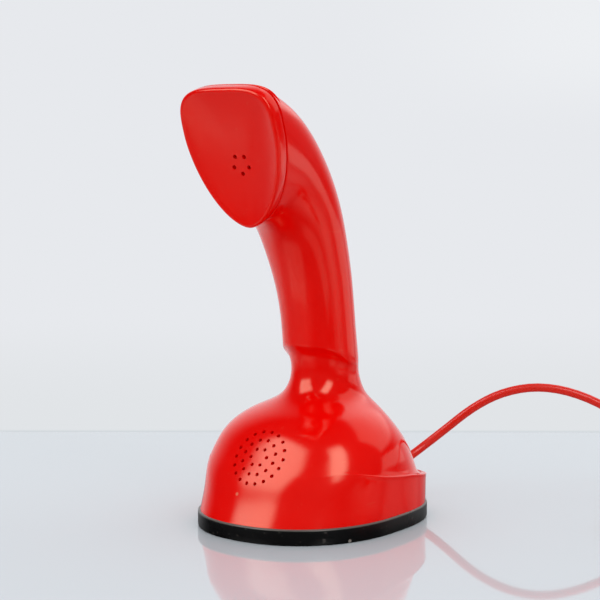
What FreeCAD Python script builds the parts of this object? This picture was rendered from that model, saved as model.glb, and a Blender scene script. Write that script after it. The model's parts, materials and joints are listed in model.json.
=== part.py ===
"""Upright one-piece table telephone with its dial in the foot, in millimetres.

The origin is on the dial's axis, at the plane that the foot stands on.
+Z is up, the mouthpiece and the earpiece face -Y, and the case is symmetric about X = 0.
"""
import FreeCAD, Part
import math
import os
from typing import NamedTuple

from FreeCAD import Placement, Rotation, Vector

# Foot outline, measured from the dial's axis
BASE_WIDTH = 98.0
BASE_FRONT = 55.6
BASE_REAR = 57.7
FRONT_POWER = 2.2
REAR_POWER = 2.85

# Foot ring and case wall
RING_HEIGHT = 7.5
RING_BAND = 7.0
CASE_WALL = 2.6

# Neck, grip and head of the case
NECK_WIDTH = 31.8
GRIP_WIDTH = 36.4
HEAD_WIDTH = 49.8
EAR_LENGTH = 62.6
EAR_TILT = 18.6
CHIN_Y = -38.0
CHIN_Z = 146.1

# Ledge round the back of the case
LEDGE_Z = 27.0
LEDGE_SLOPE = 8.2
LEDGE_STEP = 1.0

# Ear cap
CAP_DEPTH = 9.2
CAP_SEAM = 1.3
CAP_SEAM_DEPTH = 1.0
CAP_OVERHANG = 0.2
MOUTH_LIFT = 2.0
MOUTH_CHIN = 0.8
MOUTH_BROW = 2.3
CAP_RIM = 1.8
DISH_DEPTH = 4.0
CAP_FLOOR = 2.6
SPIGOT_LENGTH = 4.0
SPIGOT_WALL = 1.8
SPIGOT_CLEAR = 0.25
EAR_HOLE_COUNT = 5
EAR_HOLE_CIRCLE = 4.4
EAR_HOLE = 1.8

# Mouthpiece grille
MIC_HOLE = 1.6
MIC_RING_STEP = 4.45
MIC_RINGS = 3
MIC_TILT = 33.5
MIC_TURN = 3.0

# Base plate, dial and finger wheel
PLATE_THICK = 2.5
PLATE_CLEAR = 0.6
RIM_WALL = 2.0
RIM_CLEAR = 0.2
RIM_BOTTOM = 2.4
NUMBER_PLATE_THICK = 1.2
NUMBER_PLATE_GAP = 1.2
WHEEL_THICK = 2.2
WHEEL_GAP = 0.9
WHEEL_INSET = 2.0
FINGER_HOLE = 12.0
FINGER_HOLE_COUNT = 10
FINGER_PITCH = 30.0
FINGER_EDGE = 2.2
STOP_THICK = 1.2
STOP_WIDTH = 6.0
STOP_ANGLE = -62.0

# Dial arbor and hook plunger on the dial's axis
RUN_CLEAR = 0.05
SHAFT_WALL = 2.0
GUIDE_WALL = 1.45
ROD_RADIUS = 2.5
BUSH_WALL = 2.0
BUSH_FLANGE = 2.0
BUTTON_RADIUS = 11.0
BUTTON_THICK = 2.6
BUTTON_RECESS = 0.2
BOSS_HEIGHT = 2.4
HOOK_TRAVEL = 4.0
COLLAR_RADIUS = 4.5
COLLAR_THICK = 2.0
SPRING_LENGTH = 9.8
SPRING_WIRE = 0.8
SPRING_TURNS = 5

# Dial mechanism above the base plate
MODULE = 0.5
MAIN_TEETH = 60
PINION_TEETH = 12
WHEEL_TEETH = 30
MESH_EASE = 0.15
GEAR_THICK = 2.0
GEAR_LIFT = 4.0
SECOND_LIFT = 1.0
SECOND_THICK = 1.5
CAM_RADIUS = 12.2
CAM_LOBE = 1.2
CAM_THICK = 1.2
ARBOR_RADIUS = 1.6
PIVOT_RADIUS = 1.0
PIVOT_LENGTH = 1.5
GOVERNOR_ANGLE = 50.0
GOVERNOR_RADIUS = 7.0
GOVERNOR_CUP_WALL = 1.0
GOVERNOR_CLEAR = 0.5
TOP_PLATE_LIFT = 16.0
TOP_PLATE_THICK = 1.5
PILLAR_RADIUS = 2.5
MAINSPRING_TURNS = 4
MAINSPRING_STRIP = 0.4
MAINSPRING_HEIGHT = 3.0
SPRING_CUP_RADIUS = 14.0
SPRING_CUP_WALL = 1.0
LEAF_THICK = 0.4
LEAF_HEIGHT = 2.0

# Circuit board on its standoffs
BOARD_LIFT = 12.5
BOARD_THICK = 1.6
BOARD_WIDTH = 44.0
BOARD_FRONT = 9.0
BOARD_REAR = 31.0

# Capsules
TRANSMITTER_RADIUS = 16.5
TRANSMITTER_DEPTH = 13.0
MIC_TUBE_WALL = 2.5
MIC_TUBE_DEPTH = 8.0
GASKET_THICK = 1.0
CAPSULE_FLANGE = 1.5
BRACKET_THICK = 1.5
RECEIVER_MARGIN = 9.4
RECEIVER_DEPTH = 13.0
CLIP_THICK = 1.0
CLIP_WIDTH = 8.0

# Screws
SCREW_RADIUS = 1.5
SCREW_HEAD = 2.5
SCREW_HEAD_THICK = 1.4
HEAD_CLEAR = 0.2
SCREW_LENGTH = 9.0
BOSS_RADIUS = 3.5
BOSS_HEIGHT_FRONT = 12.0
BOSS_HEIGHT_REAR = 28.0
FRONT_SCREW = (22.0, -36.0)
REAR_SCREW = (24.0, 38.0)

# Line cord, strain relief and plug
CORD_DIAMETER = 4.4
CORD_Z = 13.6
RELIEF_RADIUS = 3.3
RELIEF_FLANGE = 4.6
RELIEF_FLANGE_THICK = 1.5
RELIEF_INSIDE = 49.0
RELIEF_END = 64.0
TERMINAL_WIDTH = 18.0
TERMINAL_FRONT = 35.5
TERMINAL_REAR = 42.5
TERMINAL_HEIGHT = 9.0
COIL_TURNS = 4
COIL_GAP = 0.5
COIL_INNER_RADIUS = 14.6
TIE_THICK = 1.0
TIE_WIDTH = 6.0
TIE_CLEAR = 0.3
PLUG_LENGTH = 26.0
PLUG_WIDTH = 18.0
PLUG_HEIGHT = 16.4
PIN_RADIUS = 2.0
PIN_LENGTH = 16.0
PIN_SPACING = 12.0
LEAD_DIAMETER = 2.4
LEAD_START = 14.0

LOOP_POINTS = 40
SPAN_STEPS = 3

COIL_PITCH = CORD_DIAMETER + COIL_GAP
COIL_OUTER_RADIUS = COIL_INNER_RADIUS + COIL_TURNS * COIL_PITCH
COIL_LOW = CORD_DIAMETER / 2 + TIE_THICK + TIE_CLEAR
COIL_HIGH = COIL_LOW + COIL_PITCH
COIL_CLIMB_RADIUS = COIL_INNER_RADIUS - COIL_PITCH / 4
COIL_HEADING = 180.0
COIL_CENTRE = Vector(162.0, 84.0, 0)
COIL_APPROACH = 18.0
COIL_TAIL = 30.0

CORD_ROUTE = [
    (0.0, RELIEF_END, CORD_Z),
    (0.0, 78.0, CORD_Z),
    (4.5, 93.0, 21.0),
    (14.0, 101.0, 30.5),
    (28.0, 106.6, 43.4),
    (42.0, 113.5, 52.0),
    (59.0, 121.0, 55.8),
    (77.0, 130.5, 52.4),
    (96.0, 140.5, 42.0),
    (117.0, 149.0, 26.5),
    (138.0, 152.5, 13.0),
    (160.0, 150.5, 5.0),
    (179.5, 141.0, 3.5),
    (192.0, 125.0, 3.5),
]
LEAD_ROUTE = [
    (-9.5, 158.0),
    (-1.5, 140.0),
    (4.5, 118.0),
    (8.0, 96.5),
    (12.2, 77.0),
    (17.0, 58.0),
]


class Section(NamedTuple):
    """One closed section of the case, in a plane that holds the X axis.

    front and back are (y, z) on the symmetry plane. widest is the share of the way from
    front to back where the section is widest, and the powers are those of a superellipse.
    """

    front_y: float
    front_z: float
    back_y: float
    back_z: float
    half_width: float
    widest: float
    front_power: float
    back_power: float


def run_of(section):
    """Length from the front point to the back point."""
    return math.hypot(section.back_y - section.front_y, section.back_z - section.front_z)


def direction_of(section):
    """Unit vector from the front point to the back point."""
    run = run_of(section)
    return Vector(0, (section.back_y - section.front_y) / run, (section.back_z - section.front_z) / run)


def normal_of(section):
    """Unit normal of the section's plane."""
    return Vector(1, 0, 0).cross(direction_of(section))


def ends_of(section):
    """The front and the back point of the section."""
    return Vector(0, section.front_y, section.front_z), Vector(0, section.back_y, section.back_z)


def moved(section, inset, lift=0.0):
    """The section drawn in by inset all round and moved by lift along its normal."""
    along = direction_of(section)
    shift = normal_of(section) * lift
    front = Vector(0, section.front_y, section.front_z) + along * inset + shift
    back = Vector(0, section.back_y, section.back_z) - along * inset + shift
    reach = run_of(section) * section.widest - inset
    widest = reach / (run_of(section) - 2 * inset)
    return section._replace(
        front_y=front.y,
        front_z=front.z,
        back_y=back.y,
        back_z=back.z,
        half_width=section.half_width - inset,
        widest=widest,
    )


def outline(section):
    """Smooth closed curve through points of the section's superellipse.

    The points are at equal polar angles of the unit superellipse |x|^p + |y|^p = 1.
    """
    along = direction_of(section)
    start = Vector(0, section.front_y, section.front_z)
    run = run_of(section)
    points = []
    for k in range(LOOP_POINTS):
        angle = 2 * math.pi * k / LOOP_POINTS
        side = math.cos(angle)
        depth = math.sin(angle)
        power = section.front_power if depth < 0 else section.back_power
        reach = section.widest if depth < 0 else 1 - section.widest
        radius = (abs(side) ** power + abs(depth) ** power) ** (-1 / power)
        across = section.half_width * radius * side
        far = section.widest + reach * radius * depth
        points.append(start + along * (run * far) + Vector(across, 0, 0))
    curve = Part.BSplineCurve()
    curve.interpolate(Points=points, PeriodicFlag=True, Parameters=list(range(LOOP_POINTS + 1)))
    return curve


def loop(section):
    """The section's outline as a wire."""
    return Part.Wire([outline(section).toShape()])


def slab(section, low, high, inset=0.0):
    """Straight block on the section's outline between two lifts along its normal."""
    return Part.Face(loop(moved(section, inset, low))).extrude(normal_of(section) * (high - low))


def spline(knots, values):
    """Natural cubic spline through values at knots, as a function of the knot parameter."""
    count = len(knots)
    gaps = [knots[k + 1] - knots[k] for k in range(count - 1)]
    upper = [0.0] * count
    right = [0.0] * count
    for k in range(1, count - 1):
        rise = (values[k + 1] - values[k]) / gaps[k] - (values[k] - values[k - 1]) / gaps[k - 1]
        pivot = 2 * (gaps[k - 1] + gaps[k]) - gaps[k - 1] * upper[k - 1]
        upper[k] = gaps[k] / pivot
        right[k] = (6 * rise - gaps[k - 1] * right[k - 1]) / pivot
    bend = [0.0] * count
    for k in range(count - 2, 0, -1):
        bend[k] = right[k] - upper[k] * bend[k + 1]

    def at(parameter):
        k = 0
        while k < count - 2 and parameter > knots[k + 1]:
            k += 1
        gap = gaps[k]
        a = knots[k + 1] - parameter
        b = parameter - knots[k]
        curved = (bend[k] * a**3 + bend[k + 1] * b**3) / (6 * gap)
        straight_a = (values[k] / gap - bend[k] * gap / 6) * a
        straight_b = (values[k + 1] / gap - bend[k + 1] * gap / 6) * b
        return curved + straight_a + straight_b

    return at


def refined(stations):
    """Sections through the stations on natural splines over the mean profile length, with their places."""
    knots = [0.0]
    for one, two in zip(stations, stations[1:]):
        front = math.hypot(two.front_y - one.front_y, two.front_z - one.front_z)
        back = math.hypot(two.back_y - one.back_y, two.back_z - one.back_z)
        knots.append(knots[-1] + (front + back) / 2)
    fields = [spline(knots, [station[k] for station in stations]) for k in range(len(Section._fields))]
    places = []
    for low, high in zip(knots, knots[1:]):
        places += [low + (high - low) * step / SPAN_STEPS for step in range(SPAN_STEPS)]
    places.append(knots[-1])
    return [Section(*[field(place) for field in fields]) for place in places], places


def skin(stations):
    """Solid with a smooth side through the stations and a flat face at each end."""
    sections, places = refined(stations)
    curves = [outline(section) for section in sections]
    columns = []
    for poles in zip(*[curve.getPoles() for curve in curves]):
        column = Part.BSplineCurve()
        column.interpolate(Points=list(poles), Parameters=places)
        columns.append(column)
    side = Part.BSplineSurface()
    side.buildFromPolesMultsKnots(
        [column.getPoles() for column in columns],
        curves[0].getMultiplicities(),
        columns[0].getMultiplicities(),
        curves[0].getKnots(),
        columns[0].getKnots(),
        True,
        False,
        3,
        3,
    )
    ends = [Part.Face(Part.Wire([curve.toShape()])) for curve in (curves[0], curves[-1])]
    shell = Part.makeShell([side.toShape()] + ends)
    shell.sewShape()
    solid = Part.makeSolid(Part.makeShell(shell.Faces))
    solid.fix(1e-4, 1e-4, 1e-3)
    return solid


def drawn_in(stations, wall):
    """Stations of the inside surface, one wall away from the outside."""
    result = []
    last = len(stations) - 1
    for k, station in enumerate(stations):
        before = stations[max(k - 1, 0)]
        after = stations[min(k + 1, last)]
        along = direction_of(station)
        insets = []
        for y_field, z_field in (("front_y", "front_z"), ("back_y", "back_z")):
            step_y = getattr(after, y_field) - getattr(before, y_field)
            step_z = getattr(after, z_field) - getattr(before, z_field)
            square = abs(along.y * step_z - along.z * step_y) / math.hypot(step_y, step_z)
            insets.append(wall / max(square, 0.6))
        front = Vector(0, station.front_y, station.front_z) + along * insets[0]
        back = Vector(0, station.back_y, station.back_z) - along * insets[1]
        result.append(
            station._replace(
                front_y=front.y,
                front_z=front.z,
                back_y=back.y,
                back_z=back.z,
                half_width=station.half_width - wall,
            )
        )
    return result


def foot(inset, z):
    """The foot's outline at height z, drawn in by inset."""
    front = BASE_FRONT - inset
    rear = BASE_REAR - inset
    share = front / (front + rear)
    return Section(-front, z, rear, z, BASE_WIDTH / 2 - inset, share, FRONT_POWER, REAR_POWER)


def dome(front_z, back_z, front_inset, back_inset, side_inset, widest, front_power, back_power):
    """Station of the dome, given by how far it draws in from the foot's outline."""
    half = BASE_WIDTH / 2 - side_inset
    front = front_inset - BASE_FRONT
    back = BASE_REAR - back_inset
    return Section(front, front_z, back, back_z, half, widest, front_power, back_power)


MIC_STATION = dome(36.5, 39.0, 16.0, 14.7, 3.6, 0.47, 2.2, 2.35)
LOWER = [
    dome(RING_HEIGHT, RING_HEIGHT, 1.1, 2.7, 1.4, 0.49, 2.2, 2.85),
    dome(18.0, 18.0, 6.1, 5.7, 1.3, 0.48, 2.2, 2.75),
    dome(27.5, 29.0, 10.2, 9.5, 1.7, 0.47, 2.25, 2.5),
    MIC_STATION,
    dome(45.5, 48.0, 22.6, 19.7, 9.2, 0.47, 2.2, 2.2),
    dome(53.0, 55.0, 31.9, 22.3, 18.6, 0.47, 2.1, 2.1),
    Section(-11.8, 59.5, 34.2, 60.5, NECK_WIDTH / 2 + 3.8, 0.48, 2.0, 2.1),
    Section(-6.6, 65.0, 32.5, 65.0, NECK_WIDTH / 2 + 0.8, 0.49, 2.0, 2.1),
    Section(-4.0, 73.5, 30.4, 70.0, NECK_WIDTH / 2, 0.5, 2.0, 2.05),
    Section(-5.0, 80.0, 29.3, 73.2, NECK_WIDTH / 2 + 0.9, 0.5, 2.0, 2.0),
    Section(-8.8, 84.5, 28.3, 76.5, GRIP_WIDTH / 2, 0.5, 2.0, 2.0),
]
SEAT = Section(
    CHIN_Y,
    CHIN_Z,
    CHIN_Y - EAR_LENGTH * math.sin(math.radians(EAR_TILT)),
    CHIN_Z + EAR_LENGTH * math.cos(math.radians(EAR_TILT)),
    HEAD_WIDTH / 2,
    0.67,
    1.8,
    4.2,
)
MOUTH_FRONT = ends_of(moved(SEAT, 0, MOUTH_LIFT))[0] - direction_of(SEAT) * MOUTH_CHIN
MOUTH_BACK = ends_of(moved(SEAT, 0, MOUTH_LIFT))[1] + direction_of(SEAT) * MOUTH_BROW
MOUTH = Section(
    MOUTH_FRONT.y,
    MOUTH_FRONT.z,
    MOUTH_BACK.y,
    MOUTH_BACK.z,
    HEAD_WIDTH / 2 + 1.6,
    0.68,
    1.75,
    3.5,
)
UPPER = [
    LOWER[-1],
    Section(-9.9, 97.0, 25.3, 92.0, GRIP_WIDTH / 2 - 0.1, 0.5, 2.05, 2.05),
    Section(-13.3, 113.0, 21.3, 113.0, GRIP_WIDTH / 2 + 0.6, 0.5, 2.1, 2.1),
    Section(-19.7, 128.5, 15.5, 134.0, GRIP_WIDTH / 2 + 2.0, 0.5, 2.1, 2.1),
    Section(CHIN_Y + 11.1, CHIN_Z - 7.1, 5.4, 158.0, GRIP_WIDTH / 2 + 3.3, 0.52, 2.0, 2.2),
    Section(CHIN_Y + 3.1, CHIN_Z - 0.9, -15.2, 183.0, HEAD_WIDTH / 2 - 2.0, 0.57, 1.9, 2.7),
    Section(CHIN_Y + 0.7, CHIN_Z - 0.1, -40.0, 199.3, HEAD_WIDTH / 2, 0.63, 1.85, 3.4),
    MOUTH,
]
NECK_STATION = 8


def inside(wall):
    """Stations of a surface inside the whole case, one wall away from its outside."""
    return drawn_in(LOWER[: NECK_STATION + 1] + UPPER[1:-1], wall) + [moved(SEAT, wall)]


CAVITY = inside(CASE_WALL)

RECEIVER_RADIUS = HEAD_WIDTH / 2 - RECEIVER_MARGIN
PLATE_BOTTOM = RING_HEIGHT
PLATE_TOP = RING_HEIGHT + PLATE_THICK
SCREW_SEAT = PLATE_BOTTOM + SCREW_HEAD_THICK + 0.1
RIM_INSET = RING_BAND + RIM_CLEAR
WELL_RADIUS = BASE_WIDTH / 2 - RIM_INSET - RIM_WALL
NUMBER_PLATE_RADIUS = WELL_RADIUS - NUMBER_PLATE_GAP
NUMBER_PLATE_BOTTOM = PLATE_BOTTOM - NUMBER_PLATE_THICK
WHEEL_RADIUS = NUMBER_PLATE_RADIUS - WHEEL_INSET
WHEEL_TOP = NUMBER_PLATE_BOTTOM - WHEEL_GAP
WHEEL_BOTTOM = WHEEL_TOP - WHEEL_THICK
FINGER_CIRCLE = WHEEL_RADIUS - FINGER_HOLE / 2 - FINGER_EDGE

GUIDE_BORE = ROD_RADIUS + RUN_CLEAR
GUIDE_RADIUS = GUIDE_BORE + GUIDE_WALL
SHAFT_BORE = GUIDE_RADIUS + RUN_CLEAR
SHAFT_RADIUS = SHAFT_BORE + SHAFT_WALL
BUSH_BORE = SHAFT_RADIUS + RUN_CLEAR
BUSH_RADIUS = BUSH_BORE + BUSH_WALL
GUIDE_BOTTOM = WHEEL_TOP + 0.2

TOP_PLATE_BOTTOM = PLATE_TOP + TOP_PLATE_LIFT
TOP_PLATE_TOP = TOP_PLATE_BOTTOM + TOP_PLATE_THICK
GUIDE_FLANGE_TOP = TOP_PLATE_TOP + 1.2
COLLAR_BOTTOM = GUIDE_FLANGE_TOP + HOOK_TRAVEL + 0.3
COLLAR_TOP = COLLAR_BOTTOM + COLLAR_THICK
BRIDGE_BOTTOM = COLLAR_TOP + SPRING_LENGTH
SHAFT_TOP = TOP_PLATE_BOTTOM - 2.0

MAIN_RADIUS = MODULE * MAIN_TEETH / 2
PINION_RADIUS = MODULE * PINION_TEETH / 2
SECOND_RADIUS = MODULE * WHEEL_TEETH / 2
GEAR_BOTTOM = PLATE_TOP + GEAR_LIFT
GEAR_TOP = GEAR_BOTTOM + GEAR_THICK
SECOND_BOTTOM = PLATE_TOP + SECOND_LIFT
CAM_BOTTOM = GEAR_TOP + 0.6
CAM_TOP = CAM_BOTTOM + CAM_THICK
MIDDLE_PLACE = Vector(0, MAIN_RADIUS + PINION_RADIUS + MESH_EASE, 0)
GOVERNOR_STEP = SECOND_RADIUS + PINION_RADIUS + MESH_EASE
GOVERNOR_PLACE = MIDDLE_PLACE + Vector(
    GOVERNOR_STEP * math.cos(math.radians(GOVERNOR_ANGLE)),
    GOVERNOR_STEP * math.sin(math.radians(GOVERNOR_ANGLE)),
    0,
)
PILLARS = [(-22.0, -12.0), (22.0, -12.0), (-18.0, 27.0), (22.0, 20.0)]
BOARD_BOTTOM = TOP_PLATE_TOP + BOARD_LIFT
BOARD_TOP = BOARD_BOTTOM + BOARD_THICK
STANDOFFS = [(-18.0, 13.0), (18.0, 13.0), (-18.0, 27.0), (18.0, 27.0)]
SCREWS = [(side * x, y) for x, y in (FRONT_SCREW, REAR_SCREW) for side in (-1, 1)]

MIC_CENTRE = Vector(0, MIC_STATION.front_y, MIC_STATION.front_z)
MIC_FRAME = Placement(MIC_CENTRE, Rotation(Vector(1, 0, 0), 90 - MIC_TILT))
CAP_NORMAL = normal_of(SEAT)
EAR_CENTRE_REACH = 28.4
EAR_CENTRE = Vector(0, SEAT.front_y, SEAT.front_z) + direction_of(SEAT) * EAR_CENTRE_REACH
EAR_FRAME = Placement(EAR_CENTRE, Rotation(Vector(1, 0, 0), Vector(0, 1, 0), CAP_NORMAL, "ZXY"))


def cylinder(radius, low, high, x=0.0, y=0.0):
    """Upright cylinder between two heights."""
    return Part.makeCylinder(radius, high - low, Vector(x, y, low))


def tube(outer, inner, low, high, x=0.0, y=0.0):
    """Upright hollow cylinder between two heights."""
    return cylinder(outer, low, high, x, y).cut(cylinder(inner, low, high, x, y))


def block(x_range, y_range, z_range):
    """Box between pairs of limits."""
    size = [high - low for low, high in (x_range, y_range, z_range)]
    return Part.makeBox(*size, Vector(x_range[0], y_range[0], z_range[0]))


def placed(shape, frame):
    """The shape carried from its own frame to the given one."""
    copy = shape.copy()
    copy.Placement = frame.multiply(copy.Placement)
    return copy


def gear(teeth, bore, low, high, place, tooth_at):
    """Spur gear with tapered teeth, one of which points along the angle tooth_at in degrees."""
    pitch = MODULE * teeth / 2
    root = pitch - 1.1 * MODULE
    tip = pitch + 0.9 * MODULE
    step = 2 * math.pi / teeth
    points = []
    for k in range(teeth):
        middle = math.radians(tooth_at) + k * step
        for radius, share in ((root, -0.3), (tip, -0.1), (tip, 0.1), (root, 0.3)):
            angle = middle + share * step
            points.append(Vector(radius * math.cos(angle), radius * math.sin(angle), low))
    face = Part.Face(Part.makePolygon(points + points[:1]))
    body = face.extrude(Vector(0, 0, high - low)).cut(cylinder(bore, low, high))
    body.translate(place)
    return body


def mic_holes():
    """Centres of the grille's holes in the mouthpiece's own frame."""
    centres = []
    for ring in range(1, MIC_RINGS + 1):
        for k in range(6 * ring):
            stagger = 0.5 if ring % 2 == 0 else 0.0
            angle = 2 * math.pi * (k + stagger) / (6 * ring) + math.radians(MIC_TURN)
            radius = MIC_RING_STEP * ring
            centres.append(Vector(radius * math.cos(angle), radius * math.sin(angle), 0))
    return centres


def ear_holes():
    """Centres of the ear cap's holes in the earpiece's own frame, one of them lowest."""
    centres = []
    for k in range(EAR_HOLE_COUNT):
        angle = -math.pi / 2 + 2 * math.pi * k / EAR_HOLE_COUNT
        centres.append(Vector(EAR_HOLE_CIRCLE * math.cos(angle), EAR_HOLE_CIRCLE * math.sin(angle), 0))
    return centres


def ledge_solid():
    """Upright skirt round the back of the foot, topped by the sloping ledge."""
    base = foot(LEDGE_STEP, RING_HEIGHT)
    slope = math.tan(math.radians(LEDGE_SLOPE))
    front_y = -41.5
    back_y = BASE_REAR - LEDGE_STEP
    top = Section(
        front_y,
        LEDGE_Z - front_y * slope,
        back_y,
        LEDGE_Z - back_y * slope,
        BASE_WIDTH / 2 - LEDGE_STEP - 0.1,
        0.43,
        FRONT_POWER,
        REAR_POWER,
    )
    base = base._replace(front_y=base.front_y + 1.0)
    return skin([base, top])


def screw_bosses(outside):
    """Bosses for the base screws, each webbed to the case wall."""
    solids = []
    for x, y in SCREWS:
        height = BOSS_HEIGHT_FRONT if y < 0 else BOSS_HEIGHT_REAR
        top = PLATE_TOP + height
        web = block((0, 14), (-1.5, 1.5), (PLATE_TOP, top))
        web.rotate(Vector(0, 0, 0), Vector(0, 0, 1), math.degrees(math.atan2(y, x)))
        web.translate(Vector(x, y, 0))
        post = cylinder(BOSS_RADIUS, PLATE_TOP, top, x, y).fuse(web)
        bore = cylinder(SCREW_RADIUS + RUN_CLEAR, PLATE_TOP, PLATE_TOP + SCREW_LENGTH, x, y)
        solids.append(post.common(outside).cut(bore))
    return solids


def make_case():
    """Hollow one-piece case with its grille, screw bosses and cord hole."""
    outside = skin(LOWER).fuse([skin(UPPER), ledge_solid()])
    hollow = skin(CAVITY).fuse([slab(CAVITY[0], -1, 0), slab(CAVITY[-1], 0, MOUTH_LIFT + 1)])
    case = outside.cut(hollow)
    outer_radius = TRANSMITTER_RADIUS + 0.5 + MIC_TUBE_WALL
    mic_tube = placed(tube(outer_radius, outer_radius - MIC_TUBE_WALL, -MIC_TUBE_DEPTH, 0), MIC_FRAME)
    case = case.fuse([mic_tube.common(outside)] + screw_bosses(outside))
    drills = [placed(cylinder(MIC_HOLE / 2, -6, 4, c.x, c.y), MIC_FRAME) for c in mic_holes()]
    drills.append(
        Part.makeCylinder(
            RELIEF_RADIUS + RUN_CLEAR,
            RELIEF_END - TERMINAL_REAR,
            Vector(0, TERMINAL_REAR, CORD_Z),
            Vector(0, 1, 0),
        )
    )
    return case.cut(drills)


def make_ear_cap():
    """Dished ear cap on the case's mouth, with a seam and a spigot inside the case."""
    spigot_inset = CASE_WALL + SPIGOT_CLEAR
    pocket_inset = spigot_inset + SPIGOT_WALL
    cap = slab(MOUTH, CAP_SEAM, CAP_DEPTH - MOUTH_LIFT, -CAP_OVERHANG)
    cap = cap.fuse(slab(MOUTH, 0, CAP_SEAM, CAP_SEAM_DEPTH))
    cap = cap.fuse(slab(SEAT, 0, MOUTH_LIFT, spigot_inset))
    cap = cap.fuse(slab(SEAT, -SPIGOT_LENGTH, 0).common(skin(inside(spigot_inset))))
    rim = moved(MOUTH, CAP_RIM - CAP_OVERHANG, CAP_DEPTH - MOUTH_LIFT + 0.01)
    reach = EAR_CENTRE_REACH + MOUTH_CHIN + CAP_OVERHANG - CAP_RIM
    rings = []
    for share, depth in ((1.0, 0.0), (0.75, 0.55), (0.45, 0.86), (0.12, 1.0)):
        ring = moved(rim, 0, -DISH_DEPTH * depth)
        centre = Vector(0, ring.front_y, ring.front_z) + direction_of(ring) * reach
        front = Vector(0, ring.front_y, ring.front_z) * share + centre * (1 - share)
        back = Vector(0, ring.back_y, ring.back_z) * share + centre * (1 - share)
        rings.append(
            ring._replace(
                front_y=front.y,
                front_z=front.z,
                back_y=back.y,
                back_z=back.z,
                half_width=ring.half_width * share,
            )
        )
    cap = cap.cut(skin(rings))
    floor = CAP_DEPTH - DISH_DEPTH - CAP_FLOOR
    pocket = slab(SEAT, -SPIGOT_LENGTH - 1, 0).common(skin(inside(pocket_inset)))
    cap = cap.cut(pocket).cut(slab(SEAT, 0, floor, pocket_inset))
    drills = [placed(cylinder(EAR_HOLE / 2, -2, CAP_DEPTH, c.x, c.y), EAR_FRAME) for c in ear_holes()]
    return cap.cut(drills)


def make_foot_ring():
    """Rubber ring that the telephone stands on."""
    return slab(foot(0, 0), 0, RING_HEIGHT).cut(slab(foot(RING_BAND, 0), 0, RING_HEIGHT))


def plate_outline():
    """Outline of the base plate, clear of the case's inside at the plate's top."""
    low = CAVITY[0]
    high = CAVITY[1]
    share = (PLATE_TOP - low.front_z) / (high.front_z - low.front_z)
    mixed = Section(*[a + (b - a) * share for a, b in zip(low, high)])
    level = mixed._replace(front_z=PLATE_BOTTOM, back_z=PLATE_BOTTOM)
    return moved(level, PLATE_CLEAR)


def make_base_plate():
    """Plate that closes the case, with a rim that holds the foot ring."""
    plate = slab(plate_outline(), 0, PLATE_THICK)
    depth = RIM_BOTTOM - RING_HEIGHT
    rim = slab(foot(RIM_INSET, RING_HEIGHT), depth, 0)
    rim = rim.cut(slab(foot(RIM_INSET + RIM_WALL, RING_HEIGHT), depth, 0))
    holes = [cylinder(BUSH_RADIUS + RUN_CLEAR, PLATE_BOTTOM, PLATE_TOP)]
    for x, y in SCREWS:
        holes.append(cylinder(SCREW_RADIUS + HEAD_CLEAR, PLATE_BOTTOM, PLATE_TOP, x, y))
        holes.append(cylinder(SCREW_HEAD + HEAD_CLEAR, PLATE_BOTTOM, SCREW_SEAT, x, y))
    for place in (MIDDLE_PLACE, GOVERNOR_PLACE):
        low = PLATE_TOP - PIVOT_LENGTH - 0.3
        holes.append(cylinder(PIVOT_RADIUS + RUN_CLEAR, low, PLATE_TOP, place.x, place.y))
    return plate.fuse(rim).cut(holes)


def make_base_screws():
    """Four screws from below the base plate into the case's bosses."""
    solids = []
    for x, y in SCREWS:
        low = SCREW_SEAT - SCREW_HEAD_THICK
        head = cylinder(SCREW_HEAD, low, SCREW_SEAT, x, y)
        shank = cylinder(SCREW_RADIUS, SCREW_SEAT, PLATE_TOP + SCREW_LENGTH - 1, x, y)
        depth = SCREW_HEAD_THICK / 2
        slot = block((x - SCREW_HEAD, x + SCREW_HEAD), (y - 0.4, y + 0.4), (low, low + depth))
        solids.append(head.fuse(shank).cut(slot))
    return Part.makeCompound(solids)


def make_number_plate():
    """Printed disc behind the finger wheel."""
    return tube(NUMBER_PLATE_RADIUS, BUSH_RADIUS + 1.0, NUMBER_PLATE_BOTTOM, PLATE_BOTTOM)


def make_finger_wheel():
    """Dial disc with its finger holes and a passage for the hook button."""
    wheel = tube(WHEEL_RADIUS, COLLAR_RADIUS + 1.0, WHEEL_BOTTOM, WHEEL_TOP)
    holes = []
    for k in range(FINGER_HOLE_COUNT):
        angle = math.radians(finger_angle(k))
        x = FINGER_CIRCLE * math.cos(angle)
        y = FINGER_CIRCLE * math.sin(angle)
        holes.append(cylinder(FINGER_HOLE / 2, WHEEL_BOTTOM, WHEEL_TOP, x, y))
    return wheel.cut(holes)


def finger_angle(k):
    """Angle of a finger hole about the dial's axis, the first one next to the stop."""
    return STOP_ANGLE + FINGER_PITCH * (k + 1)


def make_finger_stop():
    """Flat stop that reaches from the rim under the finger holes."""
    inner = FINGER_CIRCLE - FINGER_HOLE / 2 - 2.0
    low = RIM_BOTTOM - STOP_THICK
    strip = block((inner, BASE_REAR), (-STOP_WIDTH / 2, STOP_WIDTH / 2), (low, RIM_BOTTOM))
    strip.rotate(Vector(0, 0, 0), Vector(0, 0, 1), STOP_ANGLE)
    limit = slab(foot(RIM_INSET, RING_HEIGHT), low - RING_HEIGHT, RIM_BOTTOM - RING_HEIGHT)
    return strip.common(limit)


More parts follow.
